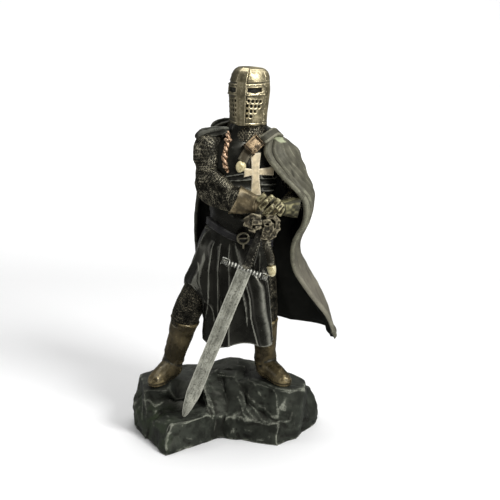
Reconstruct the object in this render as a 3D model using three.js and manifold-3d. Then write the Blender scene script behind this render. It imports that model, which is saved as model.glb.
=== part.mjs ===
// A cast and painted knight, cloaked, helmed and leaning on a sword, on a base shaped like rock.
// Millimetres, +Z up. The knight faces -Y, and its own right side is at -X.
// The origin is on the table, under the middle of the base.
import * as THREE from "three";
import { mergeVertices } from "three/addons/utils/BufferGeometryUtils.js";
import { ConvexGeometry } from "three/addons/geometries/ConvexGeometry.js";
import Module from "manifold-3d";

// Driving dimensions
const FIGURE_HEIGHT = 238; // soles to the crown of the helm
const BASE_WIDTH = 147;
const BASE_DEPTH = 106;
const STAND_LEVEL = 42; // the rock under the soles
const SEAT_GAP = 0.3; // between two pieces that touch
const CLOAK_THICKNESS = 3.2;
const STRAP_WIDTH = 7;
const STRAP_THICKNESS = 1.4;
const BELT_WIDTH = 5.2;
const CROSS_RELIEF = 1.3;
const BAND_RELIEF = 1.2; // the helm's riveted bands
const SLIT_DEPTH = 2;
const BLADE_LENGTH = 122;
const BLADE_WIDTH = 10.6;
const BLADE_THICKNESS = 2.8;
const BLADE_POINT = 20; // length over which the blade narrows to its point
const GUARD_LENGTH = 38;
const GUARD_THICKNESS = 3.4;
const GUARD_KNOB = 5;
const GRIP_RADIUS = 2.9;

const wasm = await Module();
wasm.setup();

const { PI, sin, cos, tan, abs, min, max, sign, sqrt } = Math;
const vec = (x, y, z) => new THREE.Vector3(x, y, z);
const lerp = THREE.MathUtils.lerp;
const rad = THREE.MathUtils.degToRad;
const smooth = THREE.MathUtils.smoothstep;

// The figure's pose and proportions are in hundredths of its height, measured up from the soles.
const SHARE = FIGURE_HEIGHT / 100;
const SOLE = STAND_LEVEL + SEAT_GAP;
const pose = (x, y, z) => vec(x * SHARE, y * SHARE, SOLE + z * SHARE);
const POSE = {
  rightNeck: pose(1.2, -0.8, 78.2),
  rightShoulder: pose(-4.9, -2.4, 76.8),
  rightElbow: pose(-4.6, -2.8, 62.2),
  rightCuff: pose(4.6, -9.6, 61),
  rightWrist: pose(10.8, -13.6, 59.6),
  leftNeck: pose(13.6, 1, 77),
  leftShoulder: pose(18.4, 2, 74),
  leftElbow: pose(24, 2, 60.4),
  leftCuff: pose(21.2, -6.4, 56.6),
  leftWrist: pose(16.6, -11.8, 57.8),
  rightHip: pose(-1.5, 0, 44),
  rightKnee: pose(-12.2, -3, 22.5),
  rightAnkle: pose(-17.2, 0.4, 5.6),
  rightToe: pose(-23, -8.6, 1.6),
  leftHip: pose(10.5, 0.5, 44),
  leftKnee: pose(12.2, -2.2, 22.5),
  leftAnkle: pose(12.9, 0.8, 5.4),
  leftToe: pose(19.4, -8.2, 1.6),
};
const BOOT_HALF = 3.4; // half the width of a boot, in the same shares
const BOOT_HEEL = 4.6; // how far its seat runs behind the ankle
const BOOT_TOE = 1.8; // and past the toe

// A closed mesh of merged triangles as a solid, turned so that its faces point out.
function solid(geometry) {
  const bare = geometry.clone();
  for (const name of Object.keys(bare.attributes)) {
    if (name !== "position") bare.deleteAttribute(name);
  }
  const merged = mergeVertices(bare, 1e-4);
  const vertProperties = new Float32Array(merged.attributes.position.array);
  const triVerts = new Uint32Array(merged.index.array);
  const made = new wasm.Manifold(new wasm.Mesh({ numProp: 3, vertProperties, triVerts }));
  if (made.volume() > 0) return made;
  return new wasm.Manifold(new wasm.Mesh({ numProp: 3, vertProperties, triVerts: triVerts.reverse() }));
}

function join(pieces) {
  return pieces.reduce((whole, piece) => whole.add(piece));
}

// Joining curved faces can leave specks: this keeps the largest body.
function single(made) {
  return made.decompose().reduce((best, body) => (body.volume() > best.volume() ? body : best));
}

function geometryOf(made) {
  const { numProp, numVert, vertProperties, triVerts } = made.getMesh();
  const positions = new Float32Array(numVert * 3);
  for (let i = 0; i < numVert; i++) {
    positions.set(vertProperties.subarray(i * numProp, i * numProp + 3), i * 3);
  }
  const geometry = new THREE.BufferGeometry();
  geometry.setAttribute("position", new THREE.BufferAttribute(positions, 3));
  geometry.setIndex(new THREE.BufferAttribute(triVerts, 1));
  geometry.computeVertexNormals();
  return geometry;
}

// A closed skin: rings of `sides` points, one above the other, with a middle point closing each end.
function skin(rings, sides, point) {
  const positions = [];
  const faces = [];
  const ends = [vec(0, 0, 0), vec(0, 0, 0)];
  for (let i = 0; i <= rings; i++) {
    for (let j = 0; j < sides; j++) {
      const p = point(i / rings, j / sides);
      positions.push(p.x, p.y, p.z);
      if (i === 0) ends[0].addScaledVector(p, 1 / sides);
      if (i === rings) ends[1].addScaledVector(p, 1 / sides);
    }
  }
  for (const end of ends) positions.push(end.x, end.y, end.z);
  const first = (rings + 1) * sides;
  for (let j = 0; j < sides; j++) {
    const next = (j + 1) % sides;
    for (let i = 0; i < rings; i++) {
      const [a, b] = [i * sides + j, i * sides + next];
      faces.push(a, b, b + sides, a, b + sides, a + sides);
    }
    faces.push(first, next, j);
    faces.push(first + 1, rings * sides + j, rings * sides + next);
  }
  return closed(positions, faces);
}

function closed(positions, faces) {
  const geometry = new THREE.BufferGeometry();
  geometry.setAttribute("position", new THREE.Float32BufferAttribute(positions, 3));
  geometry.setIndex(faces);
  return solid(geometry);
}

// A closed sheet: a face grid and a back grid, joined round their rim. point(u, v, back) gives both.
function sheet(across, along, point) {
  const positions = [];
  const faces = [];
  const stride = across + 1;
  const layer = stride * (along + 1);
  for (const back of [false, true]) {
    for (let i = 0; i <= along; i++) {
      for (let j = 0; j <= across; j++) {
        const p = point(j / across, i / along, back);
        positions.push(p.x, p.y, p.z);
      }
    }
  }
  for (let i = 0; i < along; i++) {
    for (let j = 0; j < across; j++) {
      const a = i * stride + j;
      faces.push(a, a + 1, a + 1 + stride, a, a + 1 + stride, a + stride);
      const b = a + layer;
      faces.push(b, b + 1 + stride, b + 1, b, b + stride, b + 1 + stride);
    }
  }
  const rim = (a, b) => faces.push(a, b + layer, b, a, a + layer, b + layer);
  for (let j = 0; j < across; j++) {
    rim(j, j + 1);
    rim(along * stride + j + 1, along * stride + j);
  }
  for (let i = 0; i < along; i++) {
    rim((i + 1) * stride, i * stride);
    rim(i * stride + across, (i + 1) * stride + across);
  }
  return closed(positions, faces);
}

// A value read off a list of [place, value, value, ...] rows, smooth between them.
function profile(rows) {
  return (place) => {
    const last = rows.length - 1;
    let i = 0;
    while (i < last - 1 && place > rows[i + 1][0]) i++;
    const [a, b] = [rows[i], rows[i + 1]];
    const before = rows[max(i - 1, 0)];
    const after = rows[min(i + 2, last)];
    const t = min(max((place - a[0]) / (b[0] - a[0]), 0), 1);
    return a.slice(1).map((value, k) => {
      const slopeA = (b[k + 1] - before[k + 1]) / (b[0] - before[0]) * (b[0] - a[0]);
      const slopeB = (after[k + 1] - a[k + 1]) / (after[0] - a[0]) * (b[0] - a[0]);
      const [t2, t3] = [t * t, t * t * t];
      return (2 * t3 - 3 * t2 + 1) * value + (t3 - 2 * t2 + t) * slopeA
        + (3 * t2 - 2 * t3) * b[k + 1] + (t3 - t2) * slopeB;
    });
  };
}

// A round limb along a smooth line, with its radius at each of its points; its ends are rounded off.
function limb(points, radii, sides = 12, rings = 12, flat = 1) {
  const line = new THREE.CatmullRomCurve3(points, false, "centripetal");
  const frames = line.computeFrenetFrames(rings, false);
  const size = profile(radii.map((r, i) => [i / (radii.length - 1), r]));
  return skin(rings, sides, (t, turn) => {
    const i = Math.round(t * rings);
    const round = i === 0 || i === rings ? 0.55 : 1;
    const r = size(t)[0] * round;
    return line.getPoint(t)
      .addScaledVector(frames.normals[i], r * flat * cos(turn * 2 * PI))
      .addScaledVector(frames.binormals[i], r * sin(turn * 2 * PI));
  });
}

// A rounded oval section of half sizes a and b; a power over 2 squares it, one under 2 points it.
function oval(turn, a, b, power = 2) {
  const [c, s] = [cos(turn), sin(turn)];
  return [a * sign(c) * abs(c) ** (2 / power), b * sign(s) * abs(s) ** (2 / power)];
}

// Rock: convex blocks. Each has an outline on the table and a top, whose points are in shares of the
// base's half width and half depth and of the standing level.
const onRock = ([x, y, z]) => vec(x * BASE_WIDTH / 2, y * BASE_DEPTH / 2, z * STAND_LEVEL);
const ROCKS = {
  ledge: {
    foot: [[-0.582, -1], [-0.08, -0.36], [0, 0.1], [-0.7, 0.3], [-0.98, 0.04]],
    top: [
      [-0.575, -0.98, 0.34], [-0.54, -0.89, 0.54], [-0.35, -0.76, 0.56], [-0.2, -0.56, 0.53],
      [-0.12, -0.46, 0.42], [-0.8, -0.4, 0.38], [-0.1, -0.1, 0.56], [-0.7, 0, 0.54],
    ],
  },
  rightStep: {
    foot: [[-1, 0.14], [-0.84, -0.32], [-0.3, -0.16], [-0.12, 0.4], [-0.3, 0.98], [-0.74, 0.9], [-1, 0.5]],
    top: [
      [-0.97, 0.12, 0.62], [-0.9, 0.1, 0.93], [-0.88, -0.2, 0.9], [-0.82, -0.45, 0.96], [-0.66, -0.53, 1],
      [-0.4, -0.4, 0.98], [-0.24, -0.04, 1], [-0.2, 0.45, 1], [-0.32, 0.84, 0.9], [-0.7, 0.78, 0.86],
      [-0.92, 0.45, 0.86],
    ],
  },
  rightCrag: {
    foot: [[-0.97, 0.02], [-0.84, -0.38], [-0.7, -0.46], [-0.7, 0]],
    top: [
      [-0.94, -0.02, 0.62], [-0.87, -0.26, 0.66], [-0.8, -0.4, 0.64], [-0.72, -0.47, 0.56],
      [-0.66, -0.36, 0.64], [-0.9, 0.06, 0.84], [-0.7, 0, 0.8],
    ],
  },
  mound: {
    foot: [[-0.3, 0.2], [0.1, -0.1], [0.5, 0.1], [0.72, 0.7], [0.3, 1], [-0.3, 1]],
    top: [
      [-0.24, 0.36, 1.03], [-0.14, 0.46, 1.12], [0, 0.5, 1.175], [0.12, 0.5, 1.17], [0.22, 0.5, 1.1],
      [0.31, 0.5, 1.01], [0.44, 0.5, 0.98], [0.5, 0.76, 0.92], [0.1, 0.86, 0.94], [-0.24, 0.82, 0.9],
      [0.1, 0.1, 0.96],
    ],
  },
  slab: {
    foot: [[-0.3, 0.2], [-0.2, -0.32], [-0.08, -0.38], [-0.02, 0.3]],
    top: [
      [-0.25, -0.2, 0.92], [-0.2, -0.36, 0.7], [-0.12, -0.44, 0.44], [-0.09, -0.3, 0.56],
      [-0.1, 0.3, 1.06], [-0.24, 0.3, 1.01],
    ],
  },
  spur: {
    foot: [[-0.02, -0.34], [0.14, -0.44], [0.28, 0.1], [0, 0.4]],
    top: [
      [0, -0.42, 0.42], [0.09, -0.44, 0.48], [0.2, -0.34, 0.56], [0.16, -0.1, 0.8], [0.02, -0.08, 0.74],
      [-0.02, 0.34, 1.08], [0.2, 0.3, 1.1],
    ],
  },
  valley: {
    foot: [[-0.2, 0.2], [-0.12, -0.3], [0.06, -0.36], [0.1, 0.3]],
    top: [[-0.1, -0.32, 0.36], [0.04, -0.36, 0.37], [-0.08, 0.1, 0.84], [0.02, 0.1, 0.84], [-0.05, 0.3, 1]],
  },
  front: {
    foot: [[-0.04, -0.32], [0.14, -0.42], [0.545, -0.655], [0.6, 0], [0.1, 0.2]],
    top: [
      [-0.02, -0.36, 0.4], [0.14, -0.42, 0.45], [0.32, -0.53, 0.43], [0.53, -0.62, 0.4],
      [0.5, -0.5, 0.46], [0.38, -0.36, 0.53], [0.22, -0.16, 0.66], [0.3, 0, 0.8],
    ],
  },
  leftStep: {
    foot: [[0.16, -0.1], [0.34, -0.4], [0.5, -0.55], [0.74, -0.42], [0.9, 0.1], [0.6, 0.6], [0.1, 0.5]],
    top: [
      [0.14, 0.02, 0.9], [0.25, -0.24, 0.72], [0.38, -0.43, 0.58], [0.5, -0.56, 0.5], [0.3, -0.06, 1],
      [0.53, -0.47, 1], [0.66, -0.54, 1], [0.8, -0.34, 0.97], [0.82, 0, 0.95], [0.56, 0.46, 1],
      [0.24, 0.4, 1],
    ],
  },
  rightEnd: {
    foot: [[0.54, -0.65], [0.84, -0.12], [1, 0.36], [0.96, 0.8], [0.5, 1], [0.3, 0.2]],
    top: [
      [0.54, -0.6, 0.4], [0.68, -0.42, 0.46], [0.97, 0.26, 0.36], [0.9, 0.74, 0.42], [0.5, 0.92, 0.64],
      [0.6, 0.3, 0.88], [0.86, 0.2, 0.72],
    ],
  },
};

function boulder({ foot, top }) {
  return solid(new ConvexGeometry([...foot.map(([x, y]) => onRock([x, y, 0])), ...top.map(onRock)]));
}

// Each boot stands in a level seat cut into the rock.
function seat(ankle, toe) {
  const way = toe.clone().sub(ankle).setZ(0).normalize();
  const side = vec(-way.y, way.x, 0).multiplyScalar(BOOT_HALF * SHARE + SEAT_GAP);
  const back = ankle.clone().addScaledVector(way, -BOOT_HEEL * SHARE);
  const front = toe.clone().addScaledVector(way, BOOT_TOE * SHARE);
  const corners = [back, front].flatMap((p) => [p.clone().add(side), p.clone().sub(side)]);
  const levels = [STAND_LEVEL, 2 * STAND_LEVEL];
  return solid(new ConvexGeometry(levels.flatMap((z) => corners.map((p) => p.clone().setZ(z)))));
}

const ROCK = single(join(Object.values(ROCKS).map(boulder))
  .subtract(join([seat(POSE.rightAnkle, POSE.rightToe), seat(POSE.leftAnkle, POSE.leftToe)])));

// The rock's level under a place.
function rockLevel(place) {
  const mesh = new THREE.Mesh(geometryOf(ROCK));
  const ray = new THREE.Raycaster(place.clone().setZ(3 * STAND_LEVEL), vec(0, 0, -1));
  return ray.intersectObject(mesh)[0].point.z;
}

// Trunk: rows of height, middle across, middle back, half width, half depth, in shares of the height.
const TRUNK_YAW = rad(14);
const TRUNK_LEAN = tan(rad(7)); // the left shoulder hangs lower
const TRUNK_FOOT = 44; // inside the skirt
const TRUNK_TOP = 83.5; // inside the collar
const TRUNK = profile([
  [40, 4, 0.3, 10.2, 7],
  [49, 4.4, 0.2, 9.8, 6.8],
  [56, 4.9, 0, 9.3, 6.6],
  [64, 5.7, -0.1, 10.2, 7.2],
  [71, 6.4, 0.1, 11, 7.3],
  [76, 6.8, 0.4, 10.2, 6.2],
  [80, 7, 0.6, 7, 5],
  [84, 7.1, 0.2, 4.9, 4.6],
]);

// A point on the trunk's skin: turn 0 is its left side, 90 degrees the back and -90 the front.
function trunkSkin(turn, height, lift = 0) {
  const [x, y, a, b] = TRUNK(height);
  const [side, deep] = oval(turn, a + lift / SHARE, b + lift / SHARE, 2.3);
  const drop = -side * TRUNK_LEAN * smooth(height, 48, 74) * (1 - smooth(height, 78, 84));
  return pose(
    x + side * cos(TRUNK_YAW) - deep * sin(TRUNK_YAW),
    y + side * sin(TRUNK_YAW) + deep * cos(TRUNK_YAW),
    height + drop,
  );
}

// The same skin on the front only, by the share of the half width from the middle, -1 to 1.
function chest(share, height, lift = 0) {
  const turn = -PI / 2 + Math.asin(min(max(share, -1), 1));
  return trunkSkin(turn, height, lift);
}

// The point of the front that is at x and z, both in shares of the height.
function chestAt(x, z, lift = 0) {
  let [low, high, level] = [-PI + 0.2, -0.2, z];
  for (let step = 0; step < 20; step++) {
    const turn = (low + high) / 2;
    const place = trunkSkin(turn, level);
    level += z - (place.z - SOLE) / SHARE;
    if (place.x < x * SHARE) low = turn;
    else high = turn;
  }
  return trunkSkin((low + high) / 2, level, lift);
}

function trunk() {
  return skin(7, 18, (t, turn) => trunkSkin(turn * 2 * PI, lerp(TRUNK_FOOT, TRUNK_TOP, t)));
}

// Surcoat skirt: rows of height, middle across, middle back, half width, half depth.
const SKIRT_TOP = 50;
const SKIRT = profile([
  [10, 3.4, -2.2, 11.4, 8.6],
  [24, 3.2, -1.8, 11.6, 8.4],
  [36, 3.2, -1, 11.7, 8],
  [44, 3.7, 0, 11, 7.4],
  [50, 4.3, 0.2, 10, 6.6],
]);
const SKIRT_PLEATS = 15;
const SLIT_HEM = 32.5; // the hem over the right thigh, where the side slit opens
const FRONT_HEM = 14.2;
// How far the cloth stands out over the right thigh, by its height.
const DRAPE = profile([[14, 0], [26, 0.3], [30, 1.6], [33, 3.7], [37, 2.6], [41, 1.6], [46, 1.2], [50, 0.9]]);

const fromSlit = (turn) => abs(Math.atan2(sin(turn - PI), cos(turn - PI)));

// The hem's height round the skirt: turn 0 is the left side, -90 degrees the front.
function hem(turn) {
  const slit = 1 - smooth(fromSlit(turn), rad(21), rad(34));
  const back = max(0, sin(turn));
  return lerp(FRONT_HEM + 5 * back + 0.8 * cos(5 * turn + 0.5), SLIT_HEM, slit);
}

// Narrow ridges between wide hollows, deeper towards the hem.
function pleat(turn, fall) {
  const swing = turn + 0.16 * sin(2 * turn + 0.6) + 0.1 * sin(5 * turn);
  const ridge = (1 - abs(sin(swing * SKIRT_PLEATS / 2))) ** 1.3;
  const knee = cos(min(abs(turn + (turn > 0 ? -2 * PI : 0) + rad(48)) * 2.4, PI / 2));
  return (ridge - 0.35) * lerp(0.4, 1.7, fall) + knee * fall * 0.8;
}

function skirtSkin(turn, fall, lift = 0) {
  const height = lerp(SKIRT_TOP, hem(turn), fall);
  const [x, y, a, b] = SKIRT(height);
  const swell = pleat(turn, fall) + lift / SHARE;
  const drape = DRAPE(height)[0] * (1 - smooth(fromSlit(turn), rad(22), rad(48)));
  const [side, deep] = oval(turn, a + swell + drape, b + swell, 2.2);
  return pose(x + side, y + deep, height);
}

function skirt() {
  return skin(4, 50, (t, turn) => skirtSkin(turn * 2 * PI, t ** 0.9));
}

// Belt: a band round the trunk that sags to the front, with a ring and a hanging end.
const beltHeight = (turn) => 47.2 - 3.9 * cos(turn) + 1.3 * cos(turn) ** 2;

function belt() {
  const half = BELT_WIDTH / 2 / SHARE;
  return skin(1, 20, (t, turn) => {
    const angle = turn * 2 * PI;
    return trunkSkin(angle, beltHeight(angle) + lerp(-half, half, t), STRAP_THICKNESS + 1.1);
  });
}

// A flat strap over a line of points, with the way out of the surface at each.
function strap(line, outward, width, thickness, along = 9) {
  const curve = new THREE.CatmullRomCurve3(line, false, "centripetal");
  return sheet(2, along, (u, v, back) => {
    const out = outward(v).normalize();
    const across = curve.getTangent(v).cross(out).normalize();
    return curve.getPoint(v)
      .addScaledVector(across, (u - 0.5) * width)
      .addScaledVector(out, back ? -thickness : thickness * (1 - 0.3 * abs(2 * u - 1)));
  });
}

function ring(centre, facing, radius, tube) {
  const geometry = new THREE.TorusGeometry(radius, tube, 4, 12);
  const turn = new THREE.Quaternion().setFromUnitVectors(vec(0, 0, 1), facing.clone().normalize());
  geometry.applyQuaternion(turn);
  geometry.translate(centre.x, centre.y, centre.z);
  return solid(geometry);
}

// A box with its own right, up and out directions.
function block(centre, right, out, width, height, depth) {
  const up = out.clone().cross(right).normalize();
  const basis = new THREE.Matrix4().makeBasis(right, up, out).setPosition(centre);
  const geometry = new THREE.BoxGeometry(width, height, depth);
  return solid(geometry.applyMatrix4(basis));
}

const FRONT = vec(sin(TRUNK_YAW), -cos(TRUNK_YAW), 0);

function beltFittings() {
  const buckle = chestAt(5.5, 48, 3.4);
  const tail = [[0.62, 50.4], [0.66, 46.4], [0.72, 42.4], [0.78, 38.4]]
    .map(([share, height]) => chest(share, height, 1.5).add(vec(0, -1.2 * (50 - height) * 0.2, 0)));
  const end = tail[3].clone().add(vec(0.5 * SHARE, 0.2 * SHARE, -3.6 * SHARE));
  const right = vec(cos(TRUNK_YAW), sin(TRUNK_YAW), 0);
  return [
    ring(buckle, FRONT, 2.2 * SHARE, 0.6 * SHARE),
    block(buckle, right, FRONT, 5 * SHARE, 1.2 * SHARE, 2.6 * SHARE),
    limb(tail, [1.2, 1.5, 1.5, 1.4].map((r) => r * SHARE), 8, 5, 0.8),
    limb([tail[3], end], [1.7 * SHARE, 1 * SHARE], 8, 3),
  ];
}

// The raised cross on the chest: each arm widens to its end.
function cross() {
  const [x, z] = [9.45, 68.6];
  const bar = (dx, dz, before, after, relief) => sheet(2, 6, (u, v, back) => {
    const run = lerp(-before, after, v);
    const spread = (u - 0.5) * lerp(1.9, 3.1, abs(run / (run < 0 ? before : after)) ** 1.6);
    return chestAt(x + dx * run + dz * spread, z + dz * run + dx * spread, back ? -2 : relief);
  });
  return [bar(0, 1, 7.4, 5.8, CROSS_RELIEF), bar(1, 0, 4.4, 5.6, CROSS_RELIEF - 0.2)];
}

// The strap across the chest, its buckle and its heart-shaped end, and the plaited cord.
function chestFittings() {
  const fromShoulder = [pose(17.2, 0.9, 79.8), pose(15.6, -2.4, 80.3), pose(12.6, -6, 78.9)];
  const points = [...fromShoulder, chestAt(8.9, 76.6, 3), chestAt(6.9, 74.5, 1.4), chestAt(5.4, 72, 1)];
  const outward = (v) => vec(lerp(0.5, -0.1, v), -1, lerp(1.3, 0.1, v));
  const buckle = chestAt(8.8, 76.7, 3.6);
  const face = vec(0.2, -1, 0.3).normalize();
  const slant = vec(0.7, 0.1, 0.7);
  const right = slant.addScaledVector(face, -slant.dot(face)).normalize();
  const heart = chestAt(5.1, 70.5, 1.2);
  const heartGeometry = new THREE.SphereGeometry(1.8 * SHARE, 8, 6).scale(0.9, 0.7, 1.05);
  heartGeometry.translate(heart.x, heart.y, heart.z);
  const cord = [[1.5, 80.8], [2, 78.6], [1.1, 76], [0.5, 72.8], [1.6, 68.5]];
  const cordLine = cord.map(([x, z], i) => (i ? chestAt(x, z, 1.5) : pose(x, -4.6, z)));
  return [
    strap(points, outward, STRAP_WIDTH, STRAP_THICKNESS),
    block(buckle, right, face, 4.6 * SHARE, 3.9 * SHARE, 1.8 * SHARE),
    solid(heartGeometry),
    limb(cordLine, [0.8, 0.95, 0.9, 1, 0.7].map((r) => r * SHARE), 6, 8),
  ];
}

// Helm: rows of height over its foot and radius. Its front comes to an upright ridge.
const HELM_YAW = rad(-20);
const HELM_HEIGHT = 16.9;
const HELM_FOOT = 83.1;
const HELM_LEAN = 0.045; // across for each share of height
const HELM_TILT = 0.08; // its foot and crown fall towards the knight's left
const CROWN_RADIUS = 4.1;
const HELM = profile([
  [0, 5.7],
  [4, 5.95],
  [9.4, 6.35],
  [12, 6.2],
  [15.6, 5.3],
  [HELM_HEIGHT, CROWN_RADIUS],
]);

// turn 0 faces the ridge and grows towards the knight's left side.
function helmSkin(turn, height, lift = 0) {
  const r = HELM(height)[0] + lift / SHARE;
  const front = cos(turn) > 0;
  const across = r * sin(turn);
  const power = 1.75;
  const edge = (1 - abs(sin(turn)) ** power) ** (1 / power);
  const deep = front ? -r * 1.12 * edge : -r * 1.02 * cos(turn);
  const foot = 1 - smooth(height, 0, 7);
  const crown = smooth(height, 12, HELM_HEIGHT);
  const dip = (front ? 0.25 * cos(turn) ** 3 * foot : 0)
    + HELM_TILT * (across * foot + (across + CROWN_RADIUS) * crown);
  return pose(
    7.2 + HELM_LEAN * height + across * cos(HELM_YAW) - deep * sin(HELM_YAW),
    -0.4 + across * sin(HELM_YAW) + deep * cos(HELM_YAW),
    HELM_FOOT + height - dip,
  );
}

function helm() {
  const shell = skin(7, 22, (t, turn) => helmSkin(turn * 2 * PI, HELM_HEIGHT * t ** 0.86));
  const ridge = sheet(2, 5, (u, v, back) => {
    const turn = (u - 0.5) * rad(44);
    return helmSkin(turn, lerp(-0.1, HELM_HEIGHT - 0.9, v), back ? -2 : BAND_RELIEF);
  });
  const brow = [1, -1].map((side) => sheet(5, 1, (u, v, back) => {
    const turn = side * rad(lerp(8, 88, u));
    return helmSkin(turn, lerp(7.9, 11.9, v), back ? -2 : BAND_RELIEF);
  }));
  const slits = [1, -1].map((side) => sheet(3, 1, (u, v, back) => {
    const turn = side * rad(lerp(24, 66, u));
    return helmSkin(turn, lerp(9.3, 10.4, v), back ? -SLIT_DEPTH : 3);
  }));
  return join([shell, ridge, ...brow]).subtract(join(slits));
}

// The mail collar, spreading from under the helm on to the shoulders.
function collar() {
  return skin(3, 16, (t, turn) => {
    const angle = turn * 2 * PI;
    const height = lerp(84.5, 78.2, t) - t * 1.2 * cos(angle);
    const reach = lerp(4.9, 6.7, t ** 1.4);
    return pose(7.1 + reach * 1.1 * cos(angle), 0.3 + reach * 0.86 * sin(angle), height);
  });
}

function arms() {
  const line = (neck, shoulder, elbow, cuff) => [
    neck,
    shoulder,
    shoulder.clone().lerp(elbow, 0.5).add(vec(-0.3 * SHARE * sign(elbow.x - neck.x), 0, 0)),
    elbow,
    cuff,
  ];
  const girth = [3.4, 4.5, 4.3, 4.9, 3.8].map((r) => r * SHARE);
  const leftGirth = girth.map((r) => r * 0.82); // most of it is under the cloak
  return [
    limb(line(POSE.rightNeck, POSE.rightShoulder, POSE.rightElbow, POSE.rightCuff), girth, 12, 10),
    limb(line(POSE.leftNeck, POSE.leftShoulder, POSE.leftElbow, POSE.leftCuff), leftGirth, 10, 8),
  ];
}

// A cone from a wide end to a narrow one, with a short turned edge at the wide end.
function cone(wide, narrow, wideRadius, narrowRadius, sides = 12) {
  const axis = narrow.clone().sub(wide).normalize();
  const side = axis.clone().cross(vec(0, 0, 1)).normalize();
  const up = side.clone().cross(axis);
  return skin(4, sides, (t, turn) => {
    const place = [-0.02, 0, 0.1, 0.5, 1][Math.round(t * 4)];
    const r = [wideRadius - 1.2, wideRadius, wideRadius * 0.98, 0, narrowRadius][Math.round(t * 4)]
      || lerp(wideRadius, narrowRadius, 0.62);
    return wide.clone().lerp(narrow, place)
      .addScaledVector(side, r * cos(turn * 2 * PI))
      .addScaledVector(up, r * sin(turn * 2 * PI));
  });
}

// Gauntlet cuffs: cones that flare back over the forearm.
function cuffs() {
  return [
    cone(POSE.rightCuff, POSE.rightWrist, 5 * SHARE, 2.5 * SHARE),
    cone(POSE.leftCuff, POSE.leftWrist, 3.7 * SHARE, 2.3 * SHARE),
  ];
}

// Sword: its point rests on the ledge and its pommel is under the upper hand.
const TIP = onRock([-0.42, -0.71, 0]);
TIP.z = rockLevel(TIP) + BLADE_WIDTH * 0.1 + SEAT_GAP;
const POMMEL = pose(13.75, -14.9, 58.4);
const SWORD_AXIS = POMMEL.clone().sub(TIP).normalize();
const SWORD_LENGTH = POMMEL.distanceTo(TIP);
const SWORD_OUT = vec(0, -1, 0).addScaledVector(SWORD_AXIS, SWORD_AXIS.y).normalize();
const SWORD_SIDE = SWORD_OUT.clone().cross(SWORD_AXIS).normalize();
const onSword = (side, up, out) => TIP.clone()
  .addScaledVector(SWORD_SIDE, side)
  .addScaledVector(SWORD_AXIS, up)
  .addScaledVector(SWORD_OUT, out);

function grip(clearance) {
  const r = GRIP_RADIUS + clearance;
  return skin(4, 10, (t, turn) => {
    const up = lerp(BLADE_LENGTH, SWORD_LENGTH + clearance, t);
    const waist = 1 - 0.12 * cos(t * 2 * PI);
    return onSword(r * waist * cos(turn * 2 * PI), up, r * waist * sin(turn * 2 * PI));
  });
}

function sword() {
  const blade = skin(9, 8, (t, turn) => {
    const up = t ** 1.5 * (BLADE_LENGTH + 1);
    const full = sqrt(min(up / BLADE_POINT, 1)) * 0.94 + 0.06;
    const [side, out] = oval(turn * 2 * PI, BLADE_WIDTH / 2, BLADE_THICKNESS / 2, 1.5);
    return onSword(side * full, up, out * full);
  });
  const middle = onSword(0, BLADE_LENGTH, 0);
  const bar = block(middle, SWORD_SIDE, SWORD_OUT, GUARD_LENGTH, GUARD_THICKNESS, GUARD_THICKNESS);
  const knobs = [1, -1].map((end) => {
    const place = onSword(end * (GUARD_LENGTH - GUARD_KNOB) / 2, BLADE_LENGTH, 0);
    return block(place, SWORD_SIDE, SWORD_OUT, GUARD_KNOB, GUARD_KNOB, GUARD_KNOB);
  });
  return join([blade, bar, ...knobs, grip(0)]);
}

// A hand closed on the grip: four fingers round it, a palm behind them and a thumb.
function hand(centre, along, wrist, size) {
  const axis = along.clone().normalize();
  const toWrist = wrist.clone().sub(centre);
  toWrist.addScaledVector(axis, -toWrist.dot(axis)).normalize();
  const out = axis.clone().cross(toWrist).normalize();
  if (out.y > 0) out.negate();
  const finger = 1.28 * size;
  const reach = GRIP_RADIUS + finger * 0.8;
  const place = (turn, up, r) => centre.clone()
    .addScaledVector(toWrist, r * cos(turn))
    .addScaledVector(out, r * sin(turn))
    .addScaledVector(axis, up);
  const fingers = [-1.5, -0.5, 0.5, 1.5].map((step) => {
    const arc = [-10, 45, 95, 145, 195].map((turn) => place(rad(turn), step * finger * 1.75, reach));
    return limb(arc, [1, 1.1, 1, 1.05, 0.8].map((r) => r * finger), 5, 4);
  });
  const palmCentre = centre.clone().addScaledVector(toWrist, reach).addScaledVector(out, -0.4 * reach);
  const palm = limb([palmCentre, wrist], [3.1 * size, 2.6 * size], 8, 3, 0.85);
  const thumb = [20, -40, -95].map((turn, i) => place(rad(turn), (3.4 + i * 0.6) * size, reach * 1.1));
  return [...fingers, palm, limb(thumb, [1.3 * size, 1.3 * size, size], 6, 4)];
}

function hands() {
  const lower = onSword(-3, SWORD_LENGTH - 5.6 * SHARE, 0);
  const upper = pose(13, -14.8, 59.5);
  const heel = [pose(10.8, -13.6, 58.4), pose(9, -14.2, 55), pose(10.8, -15, 52.6)];
  return [
    ...hand(lower, SWORD_AXIS, POSE.rightWrist, 0.95 * SHARE),
    ...hand(upper, vec(0.72, 0.1, -0.7), POSE.leftWrist, 0.95 * SHARE),
    limb(heel, [2.4, 2.9, 2].map((r) => r * SHARE), 8, 5),
  ];
}

function legs() {
  const { rightHip, rightKnee, rightAnkle, leftHip, leftKnee, leftAnkle } = POSE;
  const calf = (knee, ankle) => knee.clone().lerp(ankle, 0.4).add(vec(0, 0.9 * SHARE, 0));
  const girth = [5.2, 4.2, 3.6, 2.7].map((r) => r * SHARE);
  return [
    limb([rightHip, rightKnee, calf(rightKnee, rightAnkle), rightAnkle], girth, 10, 7),
    limb([leftHip, leftKnee, calf(leftKnee, leftAnkle), leftAnkle], girth, 10, 7),
  ];
}

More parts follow.
